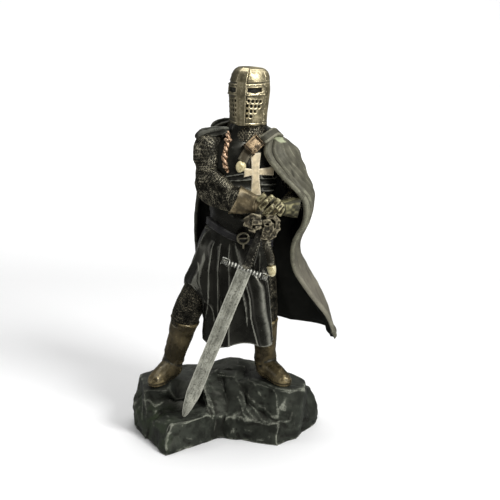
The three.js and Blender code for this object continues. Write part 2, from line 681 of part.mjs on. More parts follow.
// What is under the soles, down to the table.
function underSole(ankle) {
  const reach = BASE_WIDTH / 2;
  return block(ankle.clone().setZ(SOLE / 2), vec(1, 0, 0), vec(0, -1, 0), reach, SOLE, reach);
}

// A boot: a shaft with a turned top, and a foot cut level at its sole.
function boot(knee, ankle, toe) {
  const top = knee.clone().lerp(ankle, 0.16);
  const shaftLine = [top, top.clone().lerp(ankle, 0.5), ankle];
  const shaft = limb(shaftLine, [4.9, 4, 3.1].map((r) => r * SHARE), 10, 4);
  const way = toe.clone().sub(ankle).setZ(0);
  const along = (share, z) => ankle.clone().addScaledVector(way, share).setZ(SOLE + z * SHARE);
  const line = [along(-0.28, 2.2), along(0.1, 3.2), along(0.45, 2.6), along(0.8, 1.6), along(1.08, 1.1)];
  const foot = limb(line, [2.7, BOOT_HALF, 3, 2.8, 1.9].map((r) => r * SHARE), 10, 6);
  return [shaft, foot.subtract(underSole(ankle))];
}

function boots() {
  return [
    ...boot(POSE.rightKnee, POSE.rightAnkle, POSE.rightToe),
    ...boot(POSE.leftKnee, POSE.leftAnkle, POSE.leftToe),
  ];
}

// Cloak: rows of fall (0 at the collar, 1 at the hem), then how far it stands from the middle of the
// body at its front edge, and the reach and height on its left, at its back and on its right.
const CLOAK_MIDDLE = [7.1, 0.8];
const CLOAK = profile([
  [0, 8.6, 8.8, 79.4, 5.4, 81.6, 6, 81.4],
  [0.08, 8.8, 11, 78.2, 7.2, 80.2, 10, 80.6],
  [0.18, 10.2, 15.4, 74.4, 7.8, 74, 13.4, 77],
  [0.32, 14.6, 17.8, 67.4, 8.2, 65, 15.6, 68],
  [0.44, 19.6, 20.6, 60.4, 8.6, 57.5, 17.2, 59],
  [0.62, 15, 17, 45, 9.6, 46, 18.2, 47],
  [0.8, 20, 23.4, 29, 11.6, 32, 17.8, 38],
  [1, 30.2, 30.4, 12.8, 13.4, 17.4, 17.6, 30.6],
]);
// The turn of the front edge on the left side, and of the edge behind the right arm.
const CLOAK_EDGES = profile([
  [0, -24, 200],
  [0.08, -46, 192],
  [0.18, -58, 180],
  [0.32, -44, 170],
  [0.44, -32, 162],
  [0.62, -17, 160],
  [0.8, -8, 159],
  [1, 3, 159],
]);
const CLOAK_FOLDS = 9;
const ROLL = 1.45; // radius of its turned-over top edge, in shares of the height

function cloakSkin(across, fall, inner) {
  const [frontReach, leftReach, leftUp, backReach, backUp, rightReach, rightUp] = CLOAK(fall);
  const [front, far] = CLOAK_EDGES(fall);
  const degrees = lerp(front, far, across);
  const fromFront = smooth(degrees, front, max(front + 26, 4));
  const toBack = smooth(degrees, 6, 84);
  const toRight = smooth(degrees, 92, 156);
  const mix = (left, back, right) => lerp(lerp(left, back, toBack), right, toRight);
  const swing = rad(degrees) * CLOAK_FOLDS + 2.4 * fall;
  const fold = (abs(cos(swing / 2)) - 0.7) * 2.4 * smooth(fall, 0.1, 0.7);
  const rim = 1 + 0.7 * (1 - smooth(across, 0, 0.07));
  const outer = mix(lerp(frontReach, leftReach, fromFront), backReach, rightReach) + fold;
  const behind = smooth(degrees, 50, 74) * (1 - smooth(degrees, 112, 136)); // cast in one with the back
  const reach = inner ? lerp(outer - rim * CLOAK_THICKNESS / SHARE, 4.4, behind) : outer;
  const turn = rad(degrees);
  const rise = mix(leftUp, backUp, rightUp);
  return pose(
    CLOAK_MIDDLE[0] + reach * cos(turn),
    CLOAK_MIDDLE[1] + reach * sin(turn),
    rise - (inner ? (1 - smooth(fall, 0.06, 0.3)) * CLOAK_THICKNESS / SHARE : 0),
  );
}

function cloak() {
  const roll = (points) => limb(points.map((p) => pose(...p)), points.map(() => ROLL * SHARE), 6, 7);
  const behindNeck = [
    [-4, 2.4, 81.2], [-1, 3.6, 82.2], [3, 5.4, 82.4], [8, 6.2, 81.4], [13, 5, 79.8], [16, 2.2, 78],
  ];
  const overShoulder = [[-7.2, -0.6, 79.2], [-5.4, -2.6, 80], [-2.6, -3.8, 80.3], [0.8, -4.4, 80.6]];
  return [sheet(24, 8, cloakSkin), roll(behindNeck), roll(overShoulder)];
}

function knight() {
  const body = [trunk(), skirt(), belt(), collar(), helm(), ...legs(), ...boots(), ...arms(), ...cuffs()];
  const dress = [...beltFittings(), ...cross(), ...chestFittings(), ...cloak(), ...hands()];
  return single(join([...body, ...dress]).subtract(grip(SEAT_GAP)));
}

function piece(name, made, color, roughness, metalness) {
  const finish = new THREE.MeshStandardMaterial({ color, roughness, metalness });
  const mesh = new THREE.Mesh(geometryOf(made), finish);
  mesh.name = name;
  return mesh;
}

const statue = new THREE.Group();
statue.add(
  piece("rock_base", ROCK, 0x2b302c, 0.7, 0.1),
  piece("knight", knight(), 0x4a4436, 0.5, 0.4),
  piece("sword", sword(), 0x8f9188, 0.4, 0.7),
);

export default statue;
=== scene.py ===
"""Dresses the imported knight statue: every surface is modelled and painted here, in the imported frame.

Shapes are worked out in millimetres and put into Blender in metres. The knight faces -Y, and its own
right side is at -X, on the left of the view.
"""

import bmesh
import bpy
import numpy as np
from mathutils import Matrix, Vector


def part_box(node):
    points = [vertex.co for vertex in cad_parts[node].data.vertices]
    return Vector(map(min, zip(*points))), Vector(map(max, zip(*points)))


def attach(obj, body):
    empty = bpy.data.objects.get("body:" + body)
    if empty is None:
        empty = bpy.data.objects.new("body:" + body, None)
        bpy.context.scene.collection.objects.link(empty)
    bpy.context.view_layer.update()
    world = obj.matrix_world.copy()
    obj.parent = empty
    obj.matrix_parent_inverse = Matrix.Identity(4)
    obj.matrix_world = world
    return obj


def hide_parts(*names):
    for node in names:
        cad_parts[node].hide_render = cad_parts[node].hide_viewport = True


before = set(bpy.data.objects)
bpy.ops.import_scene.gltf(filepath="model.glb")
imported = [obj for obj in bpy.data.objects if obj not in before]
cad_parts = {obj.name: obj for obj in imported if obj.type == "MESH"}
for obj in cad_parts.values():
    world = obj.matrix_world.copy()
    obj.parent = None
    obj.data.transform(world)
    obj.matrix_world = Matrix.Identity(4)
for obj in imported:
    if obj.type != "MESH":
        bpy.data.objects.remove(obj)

bl_info = {
    "name": "Knight statue dresser",
    "version": (1, 0, 0),
    "blender": (4, 5, 0),
    "location": "3D View > Sidebar > Knight",
    "description": "Models and paints a cast knight statue round its packed frame",
    "category": "Object",
}

MM = 0.001
PI = np.pi
WELD = 1e-6  # metres within which two vertices become one
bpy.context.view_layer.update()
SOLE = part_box("knight")[0][2] / MM
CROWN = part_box("knight")[1][2] / MM
SHARE = (CROWN - SOLE) / 100  # a hundredth of the figure's height
BASE_HALF = np.array(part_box("rock_base")[1][:2]) / MM
TIP_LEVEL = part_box("sword")[0][2] / MM


# Shape tools


def lerp(a, b, t):
    return a + (b - a) * t


def smooth(x, a, b):
    """0 up to a, 1 from b on, and eased between them."""
    t = np.clip((x - a) / (b - a), 0, 1)
    return t * t * (3 - 2 * t)


def unit(v):
    v = np.asarray(v, float)
    return v / (np.linalg.norm(v, axis=-1, keepdims=True) + 1e-12)


def pose(x, y, z):
    """A place on the figure, from shares of its height measured up from the soles."""
    return np.stack(np.broadcast_arrays(x * SHARE, y * SHARE, SOLE + z * SHARE), -1)


def profile(rows):
    """Values read off rows of [place, value, value, ...], smooth between them."""
    table = np.array(rows, float)
    place, values = table[:, 0], table[:, 1:]
    last = len(place) - 1

    def at(x):
        i = np.clip(np.searchsorted(place, x, side="right") - 1, 0, last - 1)
        before = np.maximum(i - 1, 0)
        after = np.minimum(i + 2, last)
        a, b = place[i], place[i + 1]
        t = np.clip((x - a) / (b - a), 0, 1)[..., None]
        run = (b - a)[..., None]
        slope_a = (values[i + 1] - values[before]) / (b - place[before])[..., None] * run
        slope_b = (values[after] - values[i]) / (place[after] - a)[..., None] * run
        made = (2 * t**3 - 3 * t**2 + 1) * values[i] + (t**3 - 2 * t**2 + t) * slope_a
        made += (3 * t**2 - 2 * t**3) * values[i + 1] + (t**3 - t**2) * slope_b
        return np.moveaxis(made, -1, 0)

    return at


def oval(turn, a, b, power=2.0):
    """A rounded oval section: a power over 2 squares it."""
    c, s = np.cos(turn), np.sin(turn)
    return a * np.sign(c) * abs(c) ** (2 / power), b * np.sign(s) * abs(s) ** (2 / power)


LATTICE_SIDE = 32
LATTICE = np.random.RandomState(11).rand(LATTICE_SIDE, LATTICE_SIDE, LATTICE_SIDE) * 2 - 1
SEED_STEP = 7.31  # how far apart two seeds read the lattice


def noise(points, size, seed=0):
    """Smooth random values from -1 to 1 at points, with lumps of that size in millimetres."""
    q = np.asarray(points) / size + seed * SEED_STEP
    cell = np.floor(q).astype(int)
    t = q - cell
    t = t * t * (3 - 2 * t)
    total = 0
    for corner in np.ndindex(2, 2, 2):
        weight = 1
        for axis, step in enumerate(corner):
            weight = weight * (t[..., axis] if step else 1 - t[..., axis])
        x, y, z = np.moveaxis((cell + corner) % LATTICE_SIDE, -1, 0)
        total = total + weight * LATTICE[x, y, z]
    return total


def cusp(distance, width, soft=0.25):
    """A sharp ridge's height by the distance from its crest, 1 on the crest."""
    return np.exp((soft - np.sqrt(distance**2 + soft**2)) / width)


def hump(distance, width):
    """A soft bump's height by the distance from its middle, 1 in the middle."""
    return np.exp(-((distance / width) ** 2))


def rounded(share):
    """A quarter circle's height by the share of the way in from its rim."""
    return np.sqrt(1 - (1 - np.clip(share, 0, 1)) ** 2)


def inside(value, low, high, soft):
    """1 between low and high, falling to 0 over soft at each end."""
    begun = smooth(value, low - soft / 2, low + soft / 2)
    ended = smooth(value, high - soft / 2, high + soft / 2)
    return begun * (1 - ended)


def rings(across, along, pitch, rise, size=0.35, wire=0.19, squash=0.86):
    """Relief of mail: rows of linked rings, from 0 to 1. The distances are over the surface."""
    best = np.zeros(np.broadcast(across, along).shape)
    row = np.floor(along / rise)
    for step in (-1, 0, 1):
        near = row + step
        x = across / pitch + 0.5 * (near % 2)
        x = (x - np.floor(x) - 0.5) * pitch
        y = along - (near + 0.5) * rise
        best = np.maximum(best, hump(np.hypot(x, y * squash) - size * pitch, wire * pitch))
    return best


def normals_of(points, wrap):
    """Unit normals of a grid of points; on a wrapped grid they point away from each row's middle."""
    if wrap:
        ring = points[:, :-1]
        across = np.roll(ring, -1, 1) - np.roll(ring, 1, 1)
        across = np.concatenate([across, across[:, :1]], 1)
    else:
        across = np.gradient(points, axis=1)
    normals = unit(np.cross(across, np.gradient(points, axis=0)))
    if wrap and ((points - points.mean(1, keepdims=True)) * normals).sum() < 0:
        normals = -normals
    return normals


def lifted(points, lift, wrap=True, out=None):
    """A grid moved along its normals by lift, in millimetres; out gives the way out of an open one."""
    normals = normals_of(points, wrap)
    if out is not None:
        normals = normals * np.sign((normals * out).sum() + 1e-12)
    return points + normals * np.asarray(lift)[..., None]


def lengths(points, axis):
    """Distance along each row or column of a grid from its start."""
    steps = np.linalg.norm(np.diff(points, axis=axis), axis=-1)
    pad = [(0, 0), (0, 0)]
    pad[axis] = (1, 0)
    return np.cumsum(np.pad(steps, pad), axis)


def chords(line):
    """The distance of each place of a line from its start, straight from place to place."""
    return np.concatenate([[0], np.cumsum(np.linalg.norm(np.diff(line, axis=0), axis=1))])


def turns(columns):
    """A row of turns once round, in radians, with the first and last in one place."""
    return np.linspace(-PI, PI, columns + 1)[None, :]


def grid(points, wrap=False, **marks):
    """A bmesh grid whose vertices stand on a grid of points, with its seam, poles and ends closed.

    Each of marks is a grid of values that the vertices keep under its name.
    """
    rows, columns = points.shape[:2]
    if wrap:
        points[:, -1] = points[:, 0]
    places = (points * MM).tolist()
    bm = bmesh.new()
    bmesh.ops.create_grid(bm, x_segments=columns - 1, y_segments=rows - 1, size=0.5)
    kept = [(bm.verts.layers.float.new(name), values.tolist()) for name, values in marks.items()]
    for vert in bm.verts:
        i = round((vert.co.x + 0.5) * (columns - 1))
        j = round((vert.co.y + 0.5) * (rows - 1))
        vert.co = places[j][i]
        for layer, values in kept:
            vert[layer] = values[j][i]
    if wrap:
        bmesh.ops.remove_doubles(bm, verts=bm.verts, dist=WELD)
        rim = [edge for edge in bm.edges if edge.is_boundary]
        if rim:
            bmesh.ops.holes_fill(bm, edges=rim, sides=0)
    return bm


def together(parts):
    """One bmesh of several."""
    whole = parts[0]
    for part in parts[1:]:
        mesh = bpy.data.meshes.new("part")
        part.to_mesh(mesh)
        part.free()
        whole.from_mesh(mesh)
        bpy.data.meshes.remove(mesh)
    return whole


def slab(middle, thickness, out):
    """A sheet with rounded rims, from the grid of points at the middle of its thickness."""
    normals = normals_of(middle, False)
    normals = normals * np.sign((normals * out).sum())
    across, along = lengths(middle, 1), lengths(middle, 0)
    rim = np.minimum(np.minimum(across, across[:, -1:] - across), np.minimum(along, along[-1:] - along))
    half = np.broadcast_to(thickness / 2, rim.shape)
    shift = normals * (half * rounded(rim / half))[..., None]
    whole = together([grid(middle + shift), grid(middle - shift)])
    bmesh.ops.remove_doubles(whole, verts=whole.verts, dist=WELD)
    return whole


CAP_ROWS = 8
LOOK = 0.05  # how far to each side of a place, in millimetres, a limb's direction is read


def tube(points, radii, columns=48, step=0.8, flat=1.0, lift=None, ends=(None, None)):
    """A limb along a smooth line of points, with a radius at each.

    Its ends are rounded over the lengths in ends, or all the way to a point.
    """
    points = np.array(points, float)
    chord = chords(points)
    line = profile(np.column_stack([chord, points, radii]))
    total = chord[-1]
    longest = 0.45 * total
    caps = [min(r, longest) if end is None else end for r, end in zip((radii[0], radii[-1]), ends)]
    bend = 1 - np.cos(np.linspace(0, PI / 2, CAP_ROWS))
    straight = np.arange(caps[0] + step, total - caps[1] - step / 2, step)
    run = np.concatenate([caps[0] * bend, straight, total - caps[1] * bend[::-1]])
    x, y, z, full = line(run)
    middle = np.stack([x, y, z], -1)
    radius = full
    for cap, distance in zip(caps, (run, total - run)):
        radius = radius - cap * (1 - rounded(distance / cap))
    ahead, behind = (line(np.clip(run + look, 0, total))[:3].T for look in (LOOK, -LOOK))
    ways = unit(ahead - behind)
    side = unit(np.cross(ways[0], (0, 0, 1)))
    sides = []
    for way in ways:
        side = unit(side - way * (side @ way))
        sides.append(side)
    sides = np.array(sides)
    others = np.cross(ways, sides)
    turn = turns(columns)
    placed = middle[:, None] + (radius[:, None] * np.cos(turn) * flat)[..., None] * sides[:, None]
    placed += (radius[:, None] * np.sin(turn))[..., None] * others[:, None]
    if lift is not None:
        shown = np.clip(radius / full * 1.6, 0, 1)[:, None]
        placed = lifted(placed, lift(turn / (2 * PI) + 0.5, run[:, None], placed) * shown)
    return grid(placed, True)


def bar(centre, right, out, size, bevel=0.25, segments=2):
    """A box with softened edges and its own right and outward directions."""
    right, out = unit(right), unit(out)
    out = unit(out - right * (out @ right))
    up = np.cross(out, right)
    bm = bmesh.new()
    bmesh.ops.create_cube(bm, size=1)
    for vert in bm.verts:
        x, y, z = vert.co
        place = centre + right * x * size[0] + up * y * size[1] + out * z * size[2]
        vert.co = place * MM
    bmesh.ops.bevel(
        bm, geom=bm.edges, offset=bevel * MM, affect="EDGES", segments=segments, profile=0.5, material=-1
    )
    return bm


def drop_crumbs(bm, smallest=60):
    """Takes away the loose bubbles that a remesh leaves behind."""
    seen, crumbs = set(), []
    for start in bm.verts:
        if start in seen:
            continue
        shell, waiting = {start}, [start]
        while waiting:
            vert = waiting.pop()
            met = [edge.other_vert(vert) for edge in vert.link_edges]
            fresh = [other for other in met if other not in shell]
            shell.update(fresh)
            waiting.extend(fresh)
        seen |= shell
        if len(shell) < smallest:
            crumbs.extend(shell)
    bmesh.ops.delete(bm, geom=crumbs, context="VERTS")


def linked(name, data):
    """A new object in the scene."""
    made = bpy.data.objects.new(name, data)
    bpy.context.scene.collection.objects.link(made)
    return made


def remeshed(bm, voxel, smoothing=2):
    """One skin round overlapping solids, as a new bmesh."""
    mesh = bpy.data.meshes.new("merge")
    bmesh.ops.recalc_face_normals(bm, faces=bm.faces)
    bm.to_mesh(mesh)
    bm.free()
    made = linked("merge", mesh)
    merge = made.modifiers.new("merge", "REMESH")
    merge.mode = "VOXEL"
    merge.voxel_size = voxel * MM
    result = bpy.data.meshes.new_from_object(made.evaluated_get(bpy.context.evaluated_depsgraph_get()))
    bpy.data.objects.remove(made)
    bpy.data.meshes.remove(mesh)
    whole = bmesh.new()
    whole.from_mesh(result)
    bpy.data.meshes.remove(result)
    drop_crumbs(whole)
    for _ in range(smoothing):
        bmesh.ops.smooth_vert(
            whole, verts=whole.verts, factor=0.5, use_axis_x=True, use_axis_y=True, use_axis_z=True
        )
    return whole


def places_of(bm):
    """The places of a bmesh's vertices, in millimetres."""
    return np.array([vert.co for vert in bm.verts]) / MM


def normals_on(bm):
    """The way out at each of a bmesh's vertices."""
    bm.normal_update()
    return np.array([vert.normal for vert in bm.verts])


def put_back(bm, places):
    """Moves a bmesh's vertices to places in millimetres."""
    for vert, place in zip(bm.verts, (places * MM).tolist()):
        vert.co = place


def keep_marks(bm, **marks):
    """Keeps each of marks, a value for every vertex, under its name."""
    for name, values in marks.items():
        layer = bm.verts.layers.float.new(name)
        for vert, value in zip(bm.verts, values.tolist()):
            vert[layer] = value


def smooth_mesh(name, bm):
    """A smooth-shaded mesh made of a bmesh, which is used up."""
    mesh = bpy.data.meshes.new(name)
    bm.to_mesh(mesh)
    bm.free()
    mesh.polygons.foreach_set("use_smooth", np.ones(len(mesh.polygons), bool))
    return mesh


def vectors(values, name):
    """A vector of each of a mesh's values, read under its name."""
    made = np.empty(len(values) * 3)
    values.foreach_get(name, made)
    return made.reshape(-1, 3)


FULL_CREST = 0.11  # the share of the reach by which a full crest stands out


def mark_relief(mesh, reach):
    """Stores how far each vertex stands out of its neighbourhood: crests over 0, creases under 0."""
    co = vectors(mesh.vertices, "co") / MM
    ends = np.empty(len(mesh.edges) * 2, int)
    mesh.edges.foreach_get("vertices", ends)
    a, b = ends.reshape(-1, 2).T
    count = len(co)
    step = np.linalg.norm(co[a] - co[b], axis=1).mean()
    near = np.bincount(a, minlength=count) + np.bincount(b, minlength=count)
    near = np.maximum(near, 1)[:, None]
    even = co.copy()
    rounds = int(np.clip(2 * (reach / step) ** 2, 2, 60))
    for _ in range(rounds):
        summed = np.stack(
            [np.bincount(a, even[b, k], count) + np.bincount(b, even[a, k], count) for k in range(3)], -1
        )
        even = (even + summed / near) / 2
    stands = ((co - even) * vectors(mesh.vertex_normals, "vector")).sum(1)
    edge = mesh.attributes.new("edge", "FLOAT", "POINT")
    edge.data.foreach_set("value", np.clip(stands / (FULL_CREST * reach), -1, 1).astype(np.float32))


def finish_piece(name, bm, p, node, reach):
    """The object of a finished bmesh: painted, riding on the root and standing for its CAD node."""
    bmesh.ops.recalc_face_normals(bm, faces=bm.faces)
    mesh = smooth_mesh(name, bm)
    mark_relief(mesh, reach)
    made = linked(name, mesh)
    mesh.materials.append(p.material)
    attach(made, "root")
    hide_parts(node)


def figure(name, bm, p, reach):
    """A piece of the figure; its wear follows relief of about that reach in millimetres."""
    finish_piece(name, bm, p, "knight", reach)


def sword_part(name, bm, p, reach):
    """A piece of the sword, as figure makes one of the figure."""
    finish_piece(name, bm, p, "sword", reach)


# Paint


class Paint:
    """A material under construction."""

    def __init__(self, name):
        self.material = bpy.data.materials.new(name)
        self.material.use_nodes = True
        self.tree = self.material.node_tree
        self.shader = self.tree.nodes["Principled BSDF"]
        self.place = self.add("ShaderNodeTexCoord").outputs["Object"]

    def put(self, socket, value):
        if isinstance(value, bpy.types.NodeSocket):
            self.tree.links.new(value, socket)
        elif isinstance(value, (tuple, list)) and len(value) == 3 and len(socket.default_value) == 4:
            socket.default_value = (*value, 1)
        else:
            socket.default_value = value

    def add(self, kind, inputs=None, **settings):
        node = self.tree.nodes.new(kind)
        for name, value in settings.items():
            setattr(node, name, value)
        for name, value in (inputs or {}).items():
            self.put(node.inputs[name], value)
        return node

    def noise(self, size, detail=3.0, rough=0.55):
        """Noise with lumps of that size in millimetres."""
        made = self.add(
            "ShaderNodeTexNoise",
            {"Vector": self.place, "Scale": 1000 / size, "Detail": detail, "Roughness": rough},
        )
        return made.outputs["Fac"]

    def read(self, name):
        """A value that the vertices keep."""
        return self.add("ShaderNodeAttribute", attribute_name=name).outputs["Fac"]

    def near(self, place, reach):
        """1 at a place in millimetres, falling to 0 at its reach."""
        inputs = {0: self.place, 1: Vector(place) * MM}
        away = self.add("ShaderNodeVectorMath", inputs, operation="DISTANCE").outputs["Value"]
        return self.ramp(away, reach * MM, 0.3 * reach * MM)

    def over(self, factor, colour):
        """Lays one more colour over what is painted so far."""
        socket = self.shader.inputs["Base Color"]
        self.put(socket, self.mix(factor, socket.links[0].from_socket, colour))

    def maths(self, operation, a, b):
        return self.add("ShaderNodeMath", {0: a, 1: b}, operation=operation).outputs[0]

    def times(self, a, b):
        return self.maths("MULTIPLY", a, b)

    def ramp(self, value, low, high, start=0.0, end=1.0):
        """Value taken from low to high, eased, onto start to end."""
        inputs = {"Value": value, "From Min": low, "From Max": high, "To Min": start, "To Max": end}
        return self.add("ShaderNodeMapRange", inputs, interpolation_type="SMOOTHSTEP").outputs[0]

    def mix(self, factor, a, b):
        made = self.add("ShaderNodeMix", {0: factor, 6: a, 7: b}, data_type="RGBA")
        return made.outputs[2]

    def bump(self, height, strength, distance):
        made = self.add("ShaderNodeBump", {"Height": height, "Strength": strength, "Distance": distance * MM})
        self.put(self.shader.inputs["Normal"], made.outputs[0])


WARM = (1.0, 0.98, 0.84)  # tint of the gloss
# Black painted into openings as their shade
HOLE_SHADE_BLACK = (0.002, 0.002, 0.002)


def paint(name, base, high, wash, metallic=0.0, rough=0.5, wear=1.0, start=0.35, patch=9.0, grain=0.7,
          bump=0.25, mottle=0.35, gloss=0.35, broken=1.0, hollow=False):
    """A cast-resin paint: mottled colour, dry-brushed crests and a dark wash in the creases.

    patch and grain are sizes in millimetres. start is the relief where brushing begins, wear how much
    of it there is, and broken how uneven it is. A hollow paint is painted black, as painted shade, where the
    piece is marked so.
    """
    p = Paint(name)
    edge = p.read("edge")
    patches = p.noise(patch, 4)
    specks = p.noise(grain, 3, 0.7)
    raised = p.maths("ADD", edge, p.ramp(specks, 0.3, 0.7, -0.35 * broken, 0.35 * broken))
    raised = p.maths("ADD", raised, p.ramp(patches, 0.35, 0.65, -0.3 * broken, 0.2 * broken))
    crest = p.times(p.ramp(raised, start, start + 0.7), wear)
    crease = p.ramp(edge, -0.05, -0.7)
    darker = tuple(c * (1 - mottle) for c in base)
    lighter = tuple(min(c * (1 + mottle), 1) for c in base)
    tone = p.mix(p.ramp(patches, 0.35, 0.65), darker, lighter)
    tone = p.mix(p.ramp(specks, 0.55, 0.8, 0, 0.35), tone, wash)
    tone = p.mix(crest, tone, high)
    tone = p.mix(p.times(crease, 0.85), tone, wash)
    shine = p.maths("SUBTRACT", metallic, p.times(crease, metallic))
    # Painted shade: openings are painted black, with no shine
    if hollow:
        hole = p.read("hollow")
        tone = p.mix(hole, tone, HOLE_SHADE_BLACK)
        shine = p.times(shine, p.maths("SUBTRACT", 1.0, hole))
    p.put(p.shader.inputs["Base Color"], tone)
    p.put(p.shader.inputs["Metallic"], shine)
    dull = p.ramp(patches, 0.3, 0.7, rough - 0.08, rough + 0.1)
    p.put(p.shader.inputs["Roughness"], p.maths("ADD", dull, p.times(crease, 0.2)))
    p.bump(specks, bump, 0.3)
    p.put(p.shader.inputs["Specular IOR Level"], gloss)
    p.put(p.shader.inputs["Specular Tint"], WARM)
    return p


def colour(name, about, value):
    return bpy.props.FloatVectorProperty(
        name=name, description=about, default=value, subtype="COLOR", size=3, min=0, max=1
    )


def length(name, about, value):
    """A length property: given in millimetres, kept in metres."""
    return bpy.props.FloatProperty(
        name=name, description=about, default=value * MM, min=0, subtype="DISTANCE", unit="LENGTH"
    )


class KnightColours(bpy.types.PropertyGroup):
    rock: colour("Rock", "Dark green-grey of the rock", (0.023, 0.0265, 0.0205))
    rock_edge: colour("Rock edges", "Dry-brushed edges of the rock", (0.3, 0.31, 0.25))
    brass: colour("Brass", "Antique brass of the helm", (0.36, 0.312, 0.19))
    brass_light: colour("Bright brass", "Worn brass on raised edges", (0.9, 0.79, 0.52))
    mail: colour("Mail", "Dark ground of the mail", (0.01, 0.0095, 0.007))
    mail_light: colour("Mail rings", "Brushed crests of the rings", (0.6, 0.55, 0.4))
    cloth: colour("Surcoat", "Black-green of the surcoat", (0.007, 0.007, 0.0055))
    # Also the painted sheen along the skirt's front fold
    cloth_light: colour("Surcoat folds", "Brushed crests of the surcoat's folds", (0.2, 0.2, 0.168))
    cloak: colour("Cloak", "Olive grey of the cloak's outside", (0.084, 0.08, 0.058))
    cloak_light: colour("Cloak folds", "Brushed crests of the cloak", (0.24, 0.235, 0.17))
    # Also laid as painted shade on the cloak's far part
    lining: colour("Lining", "Near-black inside of the cloak", (0.006, 0.007, 0.007))
    cream: colour("Cream", "Cross and painted trim", (0.57, 0.475, 0.31))
    gold: colour("Pale gold", "Strap end and scabbard tip", (0.6, 0.5, 0.25))
    copper: colour("Copper", "Twisted cord and buckle", (0.2, 0.1, 0.045))
    copper_light: colour("Bright copper", "Crests of the cord and the buckle", (0.7, 0.49, 0.33))
    leather: colour("Leather", "Shoulder strap", (0.044, 0.042, 0.029))
    belt: colour("Belt", "Dark belt", (0.014, 0.014, 0.017))
    bronze: colour("Bronze brown", "Boots", (0.066, 0.051, 0.025))
    bronze_light: colour("Bright bronze", "Worn edges of the boots", (0.34, 0.27, 0.14))
    cuff: colour("Cuff", "Brown of the right cuff", (0.115, 0.09, 0.05))
    olive: colour("Olive", "Painted left cuff and glove", (0.17, 0.155, 0.08))
    pewter: colour("Pewter", "Blade and guard", (0.5, 0.5, 0.42))
    wash: colour("Wash", "Dark wash in creases", (0.005, 0.005, 0.004))
    floor: colour("Floor", "Pale studio floor", (0.95, 0.95, 0.95))


class KnightSizes(bpy.types.PropertyGroup):
    ring_pitch: length("Ring pitch", "Distance between the mail's rings", 2.3)
    ring_relief: length("Ring relief", "How far a ring stands out", 0.55)
    cloak_thickness: length("Cloak thickness", "Thickness of the cast cloak", 3.2)
    strap_width: length("Strap width", "Width of the shoulder strap", 7.2)
    strap_thickness: length("Strap thickness", "How far the strap stands out", 1.4)
    belt_width: length("Belt width", "Width of the belt", 5.2)
    cross_relief: length("Cross relief", "How far the cross stands out", 1.0)
    band_relief: length("Band relief", "How far the helm's bands stand out", 0.75)
    slit_depth: length("Slit depth", "Depth of the eye slits", 2.4)
    hole_width: length("Hole width", "Width of a breath hole", 2.3)
    blade_length: length("Blade length", "From the guard to the point", 122.0)
    blade_width: length("Blade width", "Across the blade", 10.6)
    blade_thickness: length("Blade thickness", "Through the blade", 2.8)
    guard_length: length("Guard length", "End to end", 36.0)
    grip_radius: length("Grip radius", "Half the grip's width", 2.9)


def sizes():
    """The sizes in millimetres."""
    group = bpy.context.scene.knight_sizes
    return {name: getattr(group, name) / MM for name in KnightSizes.__annotations__}


def colours():
    """The colours by name."""
    group = bpy.context.scene.knight_colours
    return {name: tuple(getattr(group, name)) for name in KnightColours.__annotations__}


# The figure's joints, as in the solids: neck to wrist, then hip to toe, right side first.
POSE = {
    name: pose(*place)
    for name, place in {
        "right_neck": (1.2, -0.8, 78.2),
        "right_shoulder": (-4.9, -2.4, 76.8),
        "right_elbow": (-4.6, -2.8, 62.2),
        "right_cuff": (4.6, -9.6, 61),
        "right_wrist": (10.8, -13.6, 59.6),
        "left_neck": (13.6, 1, 77),
        "left_shoulder": (18.4, 2, 74),
        "left_elbow": (24, 2, 60.4),
        "left_cuff": (21.2, -6.4, 56.6),
        "left_wrist": (16.6, -11.8, 57.8),
        "right_hip": (-1.5, 0, 44),
        "right_knee": (-12.2, -3, 22.5),
        "right_ankle": (-17.2, 0.4, 5.6),
        "right_toe": (-23, -8.6, 1.6),
        "left_hip": (10.5, 0.5, 44),
        "left_knee": (12.2, -2.2, 22.5),
        "left_ankle": (12.9, 0.8, 5.4),
        "left_toe": (19.4, -8.2, 1.6),
    }.items()
}

TRUNK_YAW = np.radians(14)
TRUNK_LEAN = np.tan(np.radians(7))
TRUNK_POWER = 2.3
FRONT = np.array([np.sin(TRUNK_YAW), -np.cos(TRUNK_YAW), 0])
LEFTWARD = np.array([np.cos(TRUNK_YAW), np.sin(TRUNK_YAW), 0])
UP = np.array([0, 0, 1.0])
# The trunk by its height, in shares: its middle's x and y, half its width and half its depth.
TRUNK = profile([
    [40, 4, 0.3, 10.2, 7],
    [49, 4.4, 0.2, 9.8, 6.8],
    [56, 4.9, 0, 9.3, 6.6],
    [64, 5.7, -0.1, 10.2, 7.2],
    [71, 6.4, 0.1, 11, 7.3],
    [76, 6.8, 0.4, 10.2, 6.2],
    [80, 7, 0.6, 7, 5],
    [84, 7.1, 0.2, 4.9, 4.6],
])


def trunk_at(turn, height, lift=0.0):
    """A place on the trunk's skin: turn 0 is its left side and -90 degrees the front."""
    x, y, a, b = TRUNK(height)
    side, deep = oval(turn, a + lift / SHARE, b + lift / SHARE, TRUNK_POWER)
    drop = -side * TRUNK_LEAN * smooth(height, 48, 74) * (1 - smooth(height, 78, 84))
    return pose(
        x + side * np.cos(TRUNK_YAW) - deep * np.sin(TRUNK_YAW),
        y + side * np.sin(TRUNK_YAW) + deep * np.cos(TRUNK_YAW),
        height + drop,
    )


def chest_at(x, z, lift=0.0):
    """The place on the trunk's front that is at x and z, both in shares of the height."""
    x, z = np.broadcast_arrays(np.asarray(x, float), np.asarray(z, float))
    low, high = np.full(x.shape, -PI + 0.2), np.full(x.shape, -0.2)
    level = z
    for _ in range(20):
        turn = (low + high) / 2
        place = trunk_at(turn, level)
        level = level + z - (place[..., 2] - SOLE) / SHARE
        less = place[..., 0] < x * SHARE
        low, high = np.where(less, turn, low), np.where(less, high, turn)
    return trunk_at((low + high) / 2, level, lift)


